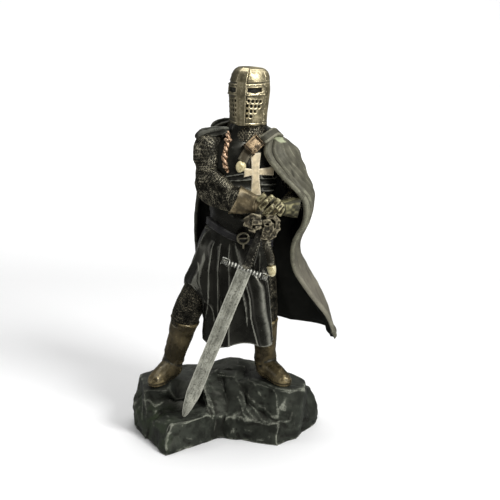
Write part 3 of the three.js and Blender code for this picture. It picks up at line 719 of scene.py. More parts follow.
def belt_height(turn):
    """The height of the belt's middle round the trunk."""
    return 47.2 - 3.9 * np.cos(turn) + 1.3 * np.cos(turn) ** 2


# Rock

ROCK_VOXEL = 0.95
COVE_DEPTH = 3.5  # how far the left tier's face is hollowed
SLUMP_DEPTH = 8  # how far the left tier's front edge sinks
WANDER = 2.2  # how far the rock's faces wander
# The fine ledges down the rock's middle: each one's place across it, and its height.
LEDGES = ((-1, 0.7), (3.3, 1.2), (7, 0.8), (11.5, 1.3), (16.5, 0.8), (21, 1.0))
# Crests of the rock that are rubbed pale: how pale, and a line over it in millimetres.
CRESTS = (
    (0.9, ((-42.8, -52.2, 5), (-42.8, -49, 14), (-42.7, -45.9, 19.5), (-40.8, -45.6, 22.4), (-38, -44, 23.2),
           (-33.3, -41.3, 23.4), (-25.9, -38.5, 23.8), (-18.8, -33.4, 23), (-13, -27.4, 21.4),
           (-9, -23, 19))),
    (0.5, ((-7.9, -21.6, 16), (-7.6, -21.8, 8))),
    (0.6, ((-63.7, -15.1, 14), (-63.4, -15.6, 23), (-63, -17, 30), (-61.7, -20.2, 31.8), (-59.2, -23, 31.5),
           (-56.2, -23.5, 29.3), (-53.1, -24.1, 27), (-50, -24, 28), (-47, -24, 30))),
    (0.6, ((-20.2, -6.1, 35), (-17.3, -12.6, 29), (-14, -19.3, 24.5), (-11.2, -23.8, 20.6))),
    (0.5, ((-17.3, -10.7, 37.4), (-13.4, -14.1, 31.4), (-11, -18.5, 25.8), (-8.7, -21.2, 20.4))),
    (0.35, ((-11.4, -4.9, 35.3), (-7.5, -7.5, 29.7), (-3.6, -11.5, 23), (0.4, -20.3, 19.2))),
    (0.7, ((2, -22.5, 18.5), (12.6, -22.8, 19), (18.7, -26.3, 17.9), (24.7, -28.6, 16.5), (31.3, -30.7, 15.8),
           (37.5, -32.4, 16.8), (39.8, -29.2, 18), (44.4, -27.9, 18.2), (48.3, -26.3, 18.4))),
    (0.4, ((48.3, -26.3, 18.4), (49.6, -26.5, 24.9))),
    (0.8, ((39.8, -31.8, 16.5), (39.8, -34.4, 2.4))),
    (0.3, ((59.3, -13.7, 19.9), (58.7, -12.9, 5.7))),
    (0.3, ((7.7, 11, 42.7), (10.6, -0.4, 36.3), (14.1, -5.5, 33.1), (18.2, -12.4, 30.5), (23.3, -17.3, 28.6),
           (29.3, -23.4, 25.3), (36, -29, 21.8))),
)
# Hollows of the rock painted dark as painted shade: middle, reach each way in millimetres, and how dark.
SHADED_HOLLOWS = (
    ((-42, -20, 33), (21, 9, 8), 0.85),
    ((-22, -10, 31), (9, 9, 9), 0.6),
    ((-40, -27, 41), (22, 5, 3), 0.9),
    ((-58, -18, 41), (8, 9, 3), 0.9),
    ((-24, -20, 41), (10, 8, 3), 0.9),
    ((-9, -15, 27), (5, 9, 6), 0.6),
    ((2, -4, 28), (9, 15, 11), 0.75),
    ((-1, -19, 9), (9, 6, 9), 0.6),
    ((24, -31, 8), (16, 8, 7), 0.45),
)
# Corners of the slab that leans between the front ledge and the middle, in millimetres.
BUTTRESS = (
    (-15, -5, 37), (-9.5, -14, 28), (-7.2, -21.5, 18.5), (-5, 6, 38), (-2, -8, 30), (2, -19.5, 18.5),
    (-7.2, -21, 1), (3, -19, 1), (-5, 5, 1), (-14, -2, 1),
)


def from_line(points, line):
    """How far each point is from a line of several places."""
    nearest = np.full(len(points), 1e3)
    for start, end in zip(np.array(line, float), np.array(line[1:], float)):
        way = end - start
        share = np.clip((points - start) @ way / (way @ way), 0, 1)
        nearest = np.minimum(nearest, np.linalg.norm(points - start - share[:, None] * way, axis=1))
    return nearest


def rock_body():
    """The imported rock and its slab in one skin."""
    bm = bmesh.new()
    bm.from_mesh(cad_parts["rock_base"].data)
    bmesh.ops.remove_doubles(bm, verts=bm.verts, dist=WELD)
    buttress = bmesh.new()
    for corner in BUTTRESS:
        buttress.verts.new(Vector(corner) * MM)
    bmesh.ops.convex_hull(buttress, input=buttress.verts)
    bm = remeshed(together([bm, buttress]), ROCK_VOXEL, smoothing=1)
    bmesh.ops.recalc_face_normals(bm, faces=bm.faces)
    return bm


def rock_lift(co, out, crests):
    """How far the skin stands out: lumps, ledges, layers and crests, less the cove in the left tier."""
    x, y, z = co.T
    lumps = 0.8 * noise(co, 11) + 0.35 * noise(co, 5, 1) + 0.12 * noise(co, 2.2, 2)
    across = 0.89 * x + 0.46 * y + 1.6 * noise(co, 9, 3)
    ledges = sum(height * cusp(across - place, 1.3) for place, height in LEDGES)
    middle = smooth(x, 6, 14) * (1 - smooth(x, 34, 44)) * smooth(z, 14, 20) * (1 - smooth(y, -12, 2))
    slope = 0.75 * z + 0.5 * y + 2.2 * noise(co, 12, 4)
    layers = 0.3 * np.sin(slope / 1.1) * smooth(noise(co, 16, 5), 0.0, 0.5)
    cove = hump(z - 32.5, 5.5) * inside(x, -60, -17, 7) * inside(y, -30, -6, 5) * smooth(-out[:, 1], 0.2, 0.7)
    lift = (lumps + ledges * middle + layers) * smooth(z, 0.4, 3)
    lift = lift + 0.5 * np.maximum.reduce([strength * cusp(away, 0.6) for strength, away in crests])
    lift = lift - COVE_DEPTH * cove
    return np.where(abs(z - SOLE) < 1.5, np.minimum(lift, 0), lift)


def rock_drift(co):
    """How the rock's faces wander and its left tier slumps; under the soles it stays level."""
    x, y, z = co.T
    drift = np.stack([noise(co, 13, 8), noise(co, 13, 9), 0.6 * noise(co, 13, 10)], 1) * WANDER
    drift[:, 2] *= (1 - hump(z - SOLE, 2.5)) * smooth(z, 2, 8)
    drift[:, 2] -= SLUMP_DEPTH * smooth(-y, 0, 22) * inside(x, -41, -17, 8) * smooth(z, 28, 41)
    return drift


def rock_paint():
    """Green-black, lighter on its tops with dust and painted top light, mossy at its left foot, pale on
    rubbed crests, with painted shade in its hollows.
    """
    c = colours()
    p = paint("rock paint", c["rock"], c["rock_edge"], c["wash"], rough=0.5, start=0.6, wear=0.7,
              patch=12, grain=0.8, bump=0.6, mottle=0.45)
    up = p.add("ShaderNodeSeparateXYZ", {0: p.add("ShaderNodeNewGeometry").outputs["Normal"]}).outputs["Z"]
    # Dust and painted top light: lighter where the rock faces up
    dust_and_top_light = p.times(p.ramp(up, 0.55, 0.95), p.ramp(p.noise(6, 4, 0.7), 0.4, 0.65, 0.05, 0.4))
    place = p.add("ShaderNodeSeparateXYZ", {0: p.place}).outputs
    left_foot = p.times(p.ramp(place["X"], -0.03, -0.055), p.ramp(place["Z"], 0.036, 0.026))
    moss = p.times(left_foot, p.ramp(p.noise(9, 3), 0.4, 0.6, 0, 0.7))
    flecks = p.ramp(p.noise(1.2, 3, 0.7), 0.58, 0.74, 0, 0.35)
    brushed = p.ramp(p.noise(1.6, 4, 0.7), 0.38, 0.6, 0.15, 1)
    p.over(dust_and_top_light, (0.08, 0.084, 0.068))
    p.over(flecks, (0.13, 0.135, 0.105))
    p.over(moss, (0.03, 0.045, 0.02))
    # Painted shade in the rock's hollows
    p.over(p.read("shaded"), (0.006, 0.007, 0.005))
    p.over(p.times(p.read("rubbed"), brushed), c["rock_edge"])
    return p


def make_rock():
    """The base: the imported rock, remeshed, worn and split by fine ledges."""
    bm = rock_body()
    co, out = places_of(bm), normals_on(bm)
    shaken = co + 0.6 * noise(co, 3, 6)[:, None]
    crests = [(strength, from_line(shaken, line)) for strength, line in CRESTS]
    co = co + out * rock_lift(co, out, crests)[:, None] + rock_drift(co)
    co[:, 2] = np.maximum(co[:, 2], 0)
    put_back(bm, co)
    # Painted shade: how dark each place is in the rock's shaded hollows
    shaded = np.maximum.reduce([
        amount * hump(np.linalg.norm((co - middle) / reach, axis=1), 1) for middle, reach, amount in SHADED_HOLLOWS
    ])
    rubbed = np.maximum.reduce([0.8 * strength * (1 - smooth(away, 0.15, 1.0)) for strength, away in crests])
    keep_marks(bm, rubbed=rubbed, shaded=shaded)
    finish_piece("rock", bm, rock_paint(), "rock_base", reach=1.5)


# Helm

HELM_MIDDLE = (7.2, -0.4)
HELM_YAW = np.radians(-20)
HELM_FOOT = 83.1
HELM_HEIGHT = 16.9
HELM_TILT = 0.08
HELM_LEAN = 0.045
HELM_POWER = 1.75
RIDGE_DEPTH = 1.12  # how deep the helm's front half is, as a share of its radius
BACK_DEPTH = 1.02
CROWN_RADIUS = 4.1
HELM_ROWS = 155
HELM_COLUMNS = 320
CROWN_ROWS = 16
CROWN_DOME = 0.8  # how far the crown swells in its middle, in millimetres
HELM_DEGREE = 0.252  # millimetres for each degree round the helm
# On the helm, places round it are in degrees from its ridge, and places up it in shares from its foot.
RIDGE_HALF = (12.6, 13.6)
BROW_ENDS = (8, 66)
BROW_EDGES = (8.7, 12.2)
BROW_RIMS = (8.95, 11.95)
BROW_RIVETS = (20, 36, 52, 63)
BROW_RIVET_ROWS = (8.95, 11.75)
SLIT_ENDS = (17, 56.5)
SLIT_EDGES = (9.75, 11)
SEAM = 68
SEAM_RIVETS = 74
HOLE_ROWS = (4, 4, 3, 2)
# The helm's radius by the height over its foot, in shares.
HELM = profile([
    [0, 5.7],
    [4, 5.95],
    [9.4, 6.35],
    [12, 6.2],
    [14.4, 5.85],
    [16.1, 5.15],
    [HELM_HEIGHT, CROWN_RADIUS],
])


def helm_at(turn, height, shrink):
    """A place on the helm: turn 0 faces its ridge and grows towards the knight's left side."""
    r = HELM(height)[0] * shrink
    c = np.cos(turn)
    across = r * np.sin(turn)
    edge = (1 - abs(np.sin(turn)) ** HELM_POWER) ** (1 / HELM_POWER)
    deep = np.where(c > 0, -r * RIDGE_DEPTH * edge, -r * BACK_DEPTH * c)
    foot = 1 - smooth(height, 0, 7)
    crown = smooth(height, 12, HELM_HEIGHT)
    dip = np.where(c > 0, 0.25 * c**3 * foot, 0)
    dip = dip + HELM_TILT * (across * foot + (across + CROWN_RADIUS) * crown)
    x, y = HELM_MIDDLE
    return pose(
        x + HELM_LEAN * height + 0.3 * crown + across * np.cos(HELM_YAW) - deep * np.sin(HELM_YAW),
        y + across * np.sin(HELM_YAW) + deep * np.cos(HELM_YAW),
        HELM_FOOT + height - dip,
    )


def helm_plates(height, side, relief):
    """The helm's ridge, and how far its ridge, brow, rims and seams stand out."""
    half = lerp(*RIDGE_HALF, height / HELM_HEIGHT)
    ridge = 1 - smooth(side, half - 0.8, half + 0.8)
    ridge_rim = hump(side - half + 1.6, 1.0)
    brow = inside(height, *BROW_EDGES, 0.22) * inside(side, *BROW_ENDS, 2.2)
    brow_rims = np.maximum.reduce([hump(height - rim, 0.18) for rim in BROW_RIMS])
    brow_rims = brow_rims * inside(side, 12, BROW_ENDS[1], 2)
    foot_rim = inside(height, -1, 0.7, 0.25)
    seam = hump(side - SEAM, 1.4) * inside(height, 0, 16.5, 0.3)
    lift = relief * np.maximum.reduce([ridge, 0.8 * brow, 0.5 * foot_rim])
    lift = lift + 0.35 * (ridge_rim + brow_rims) * relief - 0.3 * seam
    lift = lift - 0.7 * hump(side - half - 1.8, 1.3) * (1 - brow) * inside(height, 0.8, 17, 0.3)
    return ridge, lift - 0.35 * hump(height - 12.5, 0.18) * (side > 12) * (side < 100)


def helm_studs(height, side, radius):
    """The breath holes to each side of the ridge, and the rivets with the holes' rims, from 0 to 1."""

    def away(place, level):
        return np.hypot((side - place) * HELM_DEGREE, (height - level) * SHARE)

    rivets, holes = np.zeros_like(height), np.zeros_like(height)
    for row, count in enumerate(HOLE_ROWS):
        for column in range(count):
            place = 17.6 + 11.3 * column + (3.2 if row == 0 else 0)
            distance = away(place, 7.1 - 1.45 * row - 0.1 * column)
            holes = np.maximum(holes, 1 - smooth(distance, radius * 0.55, radius * 1.15))
            rivets = np.maximum(rivets, 0.3 * hump(distance - radius * 1.45, 0.35))
    for level in np.arange(1.4, 16, 1.65):
        rivets = np.maximum(rivets, 0.55 * (1 - smooth(away(SEAM_RIVETS, level), 0.25, 0.8)))
    for place in BROW_RIVETS:
        for level in BROW_RIVET_ROWS:
            rivets = np.maximum(rivets, 0.6 * (1 - smooth(away(place, level), 0.2, 0.65)))
    return holes, rivets


def helm_paint():
    """Antique brass, with painted shade on the side away from the light and on the ridge."""
    c = colours()
    p = paint("antique brass", c["brass"], c["brass_light"], (0.012, 0.011, 0.008), metallic=0.9,
              rough=0.36, start=0.2, wear=0.9, patch=7, grain=0.6, bump=0.2, mottle=0.3, hollow=True)
    # Painted shade: darker brass where the helm is marked shaded
    p.over(p.read("shaded"), (0.05, 0.05, 0.04))
    return p


def make_helm():
    """The great helm, with its ridge, riveted bands, eye slits and breath holes."""
    s = sizes()
    rows = np.concatenate([np.linspace(0, HELM_HEIGHT, HELM_ROWS), np.full(CROWN_ROWS, HELM_HEIGHT)])
    shrink = np.concatenate([np.ones(HELM_ROWS), np.linspace(1, 0, CROWN_ROWS + 1)[1:]])
    height, turn = np.broadcast_arrays(rows[:, None], turns(HELM_COLUMNS))
    shrink = np.broadcast_to(shrink[:, None], height.shape)
    points = helm_at(turn, height, shrink)
    points[..., 2] += (1 - shrink**2) * CROWN_DOME
    angle = np.degrees(turn)
    side = abs(angle)
    ridge, lift = helm_plates(height, side, s["band_relief"])
    low, high = SLIT_EDGES
    slit = inside(side, *SLIT_ENDS, 2.0) * inside(height, low - 0.35 * hump(side - 36, 9), high, 0.22)
    holes, rivets = helm_studs(height, side, s["hole_width"] / 2)
    lift = lift - s["slit_depth"] * slit - 1.5 * holes + 0.5 * rivets
    lift = lift + 0.14 * noise(points, 4) + 0.06 * noise(points, 1.2, 1)
    lift = lift * smooth(shrink, 0.8, 1.0)
    # Painted shade: the eye slits and breath holes are marked to be painted black
    hollow = np.maximum(smooth(slit, 0.55, 0.9), smooth(holes, 0.45, 0.85))
    # Painted shade: the side away from the light, and the ridge more lightly
    shaded = np.maximum(0.7 * smooth(-angle, 12, 30), 0.22 * ridge) * (1 - smooth(side, 90, 120))
    shell = grid(lifted(points, lift), True, hollow=hollow, shaded=shaded)
    figure("helm", shell, helm_paint(), reach=0.8)


# Mail


def mail_lift(count, s, seed=0, folds=None):
    """Relief for a tube of mail with that many rings round it: worn rings over soft folds."""
    pitch, relief = s["ring_pitch"], s["ring_relief"]

    def lift(around, along, points):
        drift = 0.8 * noise(points, 6, seed + 2)
        across = around * count * pitch + 0.8 * noise(points, 6, seed + 3)
        worn = np.clip(0.9 + 0.5 * noise(points, 2.6, seed), 0.4, 1.3)
        made = worn * relief * (rings(across, along + drift, pitch, pitch * 0.8) - 0.5)
        made = made + 0.6 * noise(points, 9, seed + 1)
        return made + (0 if folds is None else folds(points))

    return lift


def arm_line(side, cuff_in):
    """The line of an arm, to a share of the way from its cuff to its wrist."""
    neck, shoulder = POSE[side + "_neck"], POSE[side + "_shoulder"]
    elbow, cuff, wrist = POSE[side + "_elbow"], POSE[side + "_cuff"], POSE[side + "_wrist"]
    bow = np.array([-0.3 * SHARE * np.sign(elbow[0] - neck[0]), 0, 0])
    return [neck, shoulder, lerp(shoulder, elbow, 0.5) + bow, elbow, lerp(cuff, wrist, cuff_in)]


# Each crease out of the right elbow: slope, place up at x = 0, relief and half width in millimetres.
ELBOW_CREASES = (
    (0.75, 197, 0.7, 2.6),
    (0.75, 187, 0.7, 2.8),
    (-0.5, 216, 0.5, 2.6),
    (-0.5, 207, 0.5, 2.8),
)


def elbow_folds(points):
    """Creases that fan out of the bent right elbow."""
    x, y, z = np.moveaxis(points, -1, 0)
    made = 0
    for slope, place, relief, width in ELBOW_CREASES:
        made = made + relief * hump(z + slope * x - place, width)
    return smooth(-y, -4, 6) * (made - 0.3)


# The line of the mail bunched in the crook of the right arm, in shares of the height.
CROOK = ((-4.4, -4, 69.5), (-3.4, -6, 66.9), (-1, -7.4, 64.8), (2.4, -8.8, 62))
SLEEVE_GIRTHS = np.array([3.2, 4.3, 4.4, 4.6, 3.4])
LEFT_SLEEVE = 0.76  # the left sleeve's share of the right one's girth
CROOK_GIRTHS = np.array([2.2, 2.9, 2.8, 1.9])
LEG_GIRTHS = np.array([4.9, 4.7, 4.4, 3.6])
COLLAR_TOP = 85.2
COLLAR_FOOT = 77.6
COLLAR_MIDDLE = (7.1, 0.3)
COLLAR_REACH = (4.9, 6.7)  # from its middle, where the flare starts and where it ends
FLARE_START = 84.5
FLARE_DROP = 6.3


def make_sleeves():
    """Both sleeves, with painted shade at the throat and in the crook of the right arm."""
    c, s = colours(), sizes()
    girths = SLEEVE_GIRTHS * SHARE
    line = arm_line("right", 0.7)
    line[0] = line[0] + np.array([-0.5, 2.5, -1.5]) * SHARE
    line[1] = line[1] + np.array([0, 0, -0.8]) * SHARE
    line[3] = line[3] + np.array([0.9, 0, 0]) * SHARE
    right = tube(line, girths, columns=200, step=0.38, lift=mail_lift(29, s, 0, elbow_folds))
    line = arm_line("left", 0.7)
    line[1:4] = [place - np.array([1.0, 0, 0]) * SHARE for place in line[1:4]]
    left = tube(line, girths * LEFT_SLEEVE, columns=84, step=0.75, lift=mail_lift(24, s, 2))
    crook = [pose(*place) for place in CROOK]
    bend = tube(crook, CROOK_GIRTHS * SHARE, columns=140, step=0.35, lift=mail_lift(18, s, 10))
    p = paint("mail paint", c["mail"], c["mail_light"], c["wash"], metallic=0.7, rough=0.34, start=0.45,
              wear=0.95, patch=7, grain=1.6, bump=0.2, mottle=0.5, broken=0.8)
    # Painted shade at the throat, and over the lit crook of the right arm
    p.over(p.times(p.near(pose(-1.5, -7, 77.5), 15), 0.75), c["mail"])
    p.over(p.times(p.near(pose(1.2, -10, 65.2), 11), 0.5), c["mail"])
    figure("mail_sleeves", together([right, left, bend]), p, reach=0.7)


def collar(s):
    """The mail round the neck, from the helm's foot out over the shoulders."""
    height = np.linspace(COLLAR_TOP, COLLAR_FOOT, 92)[:, None]
    turn = turns(180)
    flare = (FLARE_START - height) / FLARE_DROP
    reach = lerp(*COLLAR_REACH, np.clip(flare, 0, 1.2) ** 1.4)
    x, y = COLLAR_MIDDLE
    points = pose(x + reach * 1.1 * np.cos(turn), y + reach * 0.86 * np.sin(turn),
                  height - flare * 1.2 * np.cos(turn))
    lift = mail_lift(40, s, 4)(turn / (2 * PI) + 0.5, (COLLAR_TOP - height) * SHARE, points)
    return grid(lifted(points, lift), True)


def legging(side, s, seed):
    """One leg's mail, from the hip into the boot."""
    hip, knee, ankle = POSE[side + "_hip"], POSE[side + "_knee"], POSE[side + "_ankle"]
    line = [hip, lerp(hip, knee, 0.5), knee, lerp(knee, ankle, 0.4)]
    return tube(line, LEG_GIRTHS * SHARE, columns=145, step=0.45, lift=mail_lift(27, s, seed))


def make_mail():
    """The mail: sleeves, collar and leggings."""
    c, s = colours(), sizes()
    make_sleeves()
    # A copy of the mail paint with dimmer ring crests, as painted shade on the collar and leggings
    p = paint("dark mail paint", c["mail"], (0.32, 0.285, 0.2), c["wash"], metallic=0.7, rough=0.38,
              start=0.4, wear=0.9, patch=7, grain=1.6, bump=0.2, mottle=0.5, broken=0.7)
    figure("mail_collar", collar(s), p, reach=0.7)
    figure("mail_leggings", together([legging("right", s, 6), legging("left", s, 8)]), p, reach=0.7)


# Surcoat

COAT_FOOT = 43
COAT_TOP = 83.5
SKIRT_TOP = 50
SKIRT_POWER = 2.2
SKIRT_ROWS = 145
SKIRT_COLUMNS = 250
TURNED_ROWS = 46  # the rows of its inside, from the hem up
SKIRT_DEGREE = 0.46  # millimetres for each degree round the skirt
# The skirt by its height, in shares: its middle's x and y, half its width and half its depth.
SKIRT = profile([
    [10, 3.4, -2.2, 11.4, 8.6],
    [24, 3.2, -1.8, 11.6, 8.4],
    [36, 3.2, -1, 11.7, 8],
    [44, 3.7, 0, 11, 7.4],
    [50, 4.3, 0.2, 10, 6.6],
])
# How far the cloth stands out over the right thigh, by its height.
DRAPE = profile([[14, 0], [26, 0.3], [30, 1.6], [33, 3.7], [37, 2.6], [41, 1.6], [46, 1.2], [50, 0.9]])
SLIT_TOP = 32.5
# How much the slit lifts the hem, by degrees from its middle.
HEM = profile([[0, 1], [24, 1], [29, 0.97], [32, 0.86], [34, 0.7], [36, 0.45], [37.5, 0.15], [39, 0]])
# The crest of the broad fold at the skirt's front that carries a painted sheen: its turn in degrees at shares
# of the fall.
SHEEN_FOLD = ((0.36, -61), (0.48, -51), (0.6, -48), (0.7, -46), (0.82, -40), (1, -35))
# Each fold: its crest's turn in degrees at shares of the fall, then its height and half width.
FOLDS = (
    (((0, -150), (0.25, -159), (0.55, -165), (1, -178)), 1.7, 2.2),
    (((0.04, -128), (0.2, -132), (0.5, -131), (0.8, -138)), 1.3, 1.5),
    (((0.02, -115), (0.2, -116), (0.6, -114), (0.75, -116)), 1.6, 1.4),
    (((0.04, -101), (0.2, -100), (0.45, -97), (0.6, -99)), 1.5, 1.3),
    (((0.06, -94), (0.12, -92), (0.3, -85), (0.5, -84)), 1.4, 1.3),
    (((0.55, -158), (0.6, -147), (0.66, -126), (0.8, -119)), 1.6, 1.6),
    (((0.3, -84), (0.46, -76), (0.6, -70), (0.77, -68), (0.98, -59)), 1.9, 1.6),
    (((0.42, -87), (0.54, -81), (0.67, -76), (0.86, -73)), 1.4, 1.3),
    (SHEEN_FOLD, 2.8, 3.4),
    (((0.65, -99), (0.8, -98), (1, -99)), 1.4, 1.5),
    (((0.5, -111), (0.8, -108), (1, -110)), 1.3, 1.8),
    (((0.06, -50), (0.19, -57), (0.31, -63)), 1.6, 1.3),
    (((0.14, -50), (0.24, -52), (0.4, -54)), 1.3, 1.2),
    (((0.36, -37), (0.43, -41), (0.52, -50)), 1.3, 1.3),
    (((0.3, -40), (0.6, -30), (1, -18)), 1.5, 2.2),
)
BACK_FOLDS = tuple((((0, a), (0.5, a + 3), (1, a - 2)), 1.8, 2.4) for a in range(10, 180, 19))
# Creases of the chest to each side of the cross: height of each in millimetres, and its slope.
LEFT_CREASES = ((200.6, 0.1), (196.2, 0.14), (191.6, 0.14))
RIGHT_CREASES = ((203.4, 0.16), (199.6, 0.05), (195.2, -0.2))


def round_to(turn, middle):
    """How many degrees a turn in degrees is from the middle, the short way round."""
    return (turn - middle + 180) % 360 - 180


def from_slit(turn):
    """How far a turn is from the side slit, both in radians."""
    return abs(np.arctan2(np.sin(turn - PI), np.cos(turn - PI)))


def hem(turn):
    """The height of the hem: over the right thigh the side slit opens and it is higher."""
    slit = HEM(np.degrees(from_slit(turn)))[0]
    back = np.maximum(0, np.sin(turn))
    level = 14.2 + 5 * back + 0.8 * np.cos(5 * turn + 0.5)
    return lerp(level, SLIT_TOP, slit)


def skirt_at(turn, fall):
    """A place on the skirt, by its turn and its share of the way down to the hem."""
    height = lerp(SKIRT_TOP, hem(turn), fall)
    degrees = np.degrees(from_slit(turn))
    front = np.sin(turn) < 0
    swing = 15 * (1 - smooth(height, 14, 27)) * (1 - smooth(degrees, 38, 80)) * front
    turn = turn - np.radians(swing)
    x, y, a, b = SKIRT(height)
    drape = DRAPE(height)[0] * (1 - smooth(degrees, 24, 56))
    side, deep = oval(turn, a + drape, b, SKIRT_POWER)
    thigh = 1.5 * front * hump(degrees - 37, 20) * inside(height, 27, 44, 6)
    return pose(x + side, y + deep - thigh, height)


def fold(distance, width):
    """A fold's height by the distance from its crest: a crest on a wide rise, keen where it is narrow."""
    keen = 0.55 * (1 - smooth(width, 1.6, 2.8))
    return keen * cusp(distance, 0.5 * width) + (1 - keen) * hump(distance, lerp(2.2, 1.5, 1 - keen) * width)


def fold_lift(turn, fall):
    """How far the skirt stands out: sharp crests with wide hollows between them."""
    degrees = np.degrees(turn)
    lift = np.zeros_like(degrees)
    for knots, height, width in (*FOLDS, *BACK_FOLDS):
        first, last = knots[0][0], knots[-1][0]
        away = round_to(degrees, profile(knots)(fall)[0])
        shown = smooth(fall, first - 0.02, first + 0.12)
        if last < 0.95:
            shown = shown * (1 - smooth(fall, last - 0.1, last + 0.04))
        lift = np.maximum(lift, height * lerp(0.8, 1.3, fall) * shown * fold(away * SKIRT_DEGREE, width))
    knee = np.cos(np.minimum(abs(degrees + 48) * 2.4, 90) * PI / 180)
    return lift - 0.5 + 1.9 * knee * fall


def chest_lift(turn, height, points):
    """Folds of the surcoat: a wrap over the belt, and creases to each side of the cross."""
    x, y, z = np.moveaxis(points, -1, 0)
    over = height - belt_height(turn)
    lift = 1.0 * hump(over - 3.9, 1.4) + 0.9 * hump(over - 6.7 - 0.8 * np.sin(turn), 1.2)
    lift = lift + 0.9 * cusp(over - 8.9, 0.6, 0.2) * smooth(-np.cos(turn), -0.6, 0.4)
    front = smooth(-y, 0, 6)
    left = smooth(x, 24, 28) * front
    right = (1 - smooth(x, 17, 22)) * front * smooth(x, -4, 4)
    for place, drop in LEFT_CREASES:
        lift = lift + 1.1 * left * fold(z + drop * (x - 27) - place, 1.1)
    for place, rise in RIGHT_CREASES:
        lift = lift + right * fold(z - rise * (x - 6) - place, 1.1)
    return lift + 0.5 * noise(points, 8) + 0.2 * noise(points, 3.5, 1)


def skirt():
    """The skirt, turned in at its hem, with a painted sheen marked along its front fold."""
    fall, turn = np.broadcast_arrays(np.linspace(0, 1, SKIRT_ROWS)[:, None], turns(SKIRT_COLUMNS))
    points = skirt_at(turn, fall)
    lift = fold_lift(turn, fall) + 0.25 * noise(points, 9, 2) + 0.05 * noise(points, 3.5, 3)
    outer = lifted(points, lift + 0.6 * hump(1 - fall, 0.02))
    outer[..., 2] += 0.9 * smooth(fall, 0.9, 1.0) * noise(points, 6, 5)
    inner = lifted(points, lift - 1.8)[::-1][:TURNED_ROWS]
    inner[0] = lerp(outer[-1], inner[1], 0.5)
    sheen_away = round_to(np.degrees(turn), profile(SHEEN_FOLD)(fall)[0])
    sheen = smooth(fall, 0.42, 0.55) * hump(sheen_away, 4.5)
    sheen = np.concatenate([sheen, 0 * inner[..., 0]])
    return grid(np.concatenate([outer, inner]), True, sheen=sheen)


def make_surcoat():
    """The black surcoat: the chest with its folds, and the skirt below the belt."""
    c = colours()
    # The pale on the fold crests is dry-brush and painted highlight both
    p = paint("surcoat paint", c["cloth"], c["cloth_light"], c["wash"], rough=0.25, start=0.45, wear=0.8,
              patch=12, grain=0.8, bump=0.1, mottle=0.6, gloss=0.4, broken=0.25)
    # Painted highlight: a sheen along the broad front fold
    p.over(p.times(p.read("sheen"), p.ramp(p.noise(3, 3), 0.3, 0.6, 0.35, 0.75)), c["cloth_light"])
    height, turn = np.broadcast_arrays(np.linspace(COAT_FOOT, COAT_TOP, 140)[:, None], turns(200))
    points = trunk_at(turn, height)
    figure("surcoat", grid(lifted(points, chest_lift(turn, height, points)), True), p, reach=1.2)
    figure("skirt", skirt(), p, reach=1.2)


# Belt and what hangs from it

# The scabbard's line and then its tip's, which start where the other ends, in shares of the height.
SCABBARD = (
    (11.6, -8.2, 50.6), (12.6, -9.8, 48.2), (13.2, -10.5, 45.6), (13.9, -10.6, 42.8), (14.4, -10.5, 39.9),
)
SCABBARD_TIP = (SCABBARD[-1], (14.6, -10.5, 38.3), (14.8, -10.4, 36.5))
BELT_RELIEF = 2.4
SHEATH_GIRTHS = np.array([1.6, 1.6, 1.45, 1.3, 1.2])
TIP_GIRTHS = np.array([1.4, 1.3, 0.8])


def belt(s):
    """The belt's band round the trunk, with raised edges, closed along its inside."""
    half = s["belt_width"] / 2 / SHARE
    across = np.linspace(-1.15, 1.15, 26)[:, None]
    turn = turns(260)
    lift = BELT_RELIEF * np.sqrt(np.clip(1 - np.maximum(abs(across) - 0.85, 0) ** 2 / 0.09, 0, 1))
    lift = lift + 0.3 * hump(abs(across) - 0.78, 0.08) - 1.6 * (abs(across) > 1.1)
    points = trunk_at(turn, belt_height(turn) + np.clip(across, -1, 1) * half, lift)
    return grid(lifted(points, 0.12 * noise(points, 3)), True)


def belt_ring():
    """The ring on the belt, with its bar and the stub below it."""
    centre = chest_at(5.5, 48.05, 3.2)
    reach, wire = 1.75 * SHARE, 0.36 * SHARE
    around = np.linspace(0, 2 * PI, 17)
    loop = [centre + reach * (np.cos(turn) * LEFTWARD + 0.95 * np.sin(turn) * UP) for turn in around]
    return together([
        tube(loop, [wire] * len(loop), columns=16, step=0.5),
        bar(centre, LEFTWARD, FRONT, (3.2 * SHARE, 0.4 * SHARE, 1.4), bevel=0.3),
        bar(centre - UP * 2.6 * SHARE, LEFTWARD, FRONT, (0.6 * SHARE, 1.4 * SHARE, 1.4), bevel=0.4),
    ])


def make_scabbard():
    """The dagger's ribbed scabbard and its gold tip."""
    c = colours()

    def ribs(around, along, points):
        front = smooth(np.sin(around * 4 * PI), -0.2, 0.6)
        return 0.12 * np.sin(along * 3.2) * front + 0.15 * noise(points, 1.2)

    hide = paint("scabbard paint", (0.05, 0.046, 0.034), (0.28, 0.26, 0.195), c["wash"], metallic=0.4,
                 rough=0.42, start=0.35, patch=5, grain=0.5)
    gold = paint("pale gold", c["gold"], (0.85, 0.78, 0.52), (0.16, 0.1, 0.03), metallic=0.4, rough=0.36,
                 start=0.3, patch=4, grain=0.6, mottle=0.2)
    line = [pose(*place) for place in SCABBARD]
    sheath = tube(line, SHEATH_GIRTHS * SHARE, columns=56, step=0.45, flat=0.8, lift=ribs)
    figure("scabbard", sheath, hide, reach=0.7)
    line = [pose(*place) for place in SCABBARD_TIP]
    tip = tube(line, TIP_GIRTHS * SHARE, columns=44, step=0.4, flat=0.85, ends=(0.6, None))
    figure("scabbard_tip", tip, gold, reach=0.7)


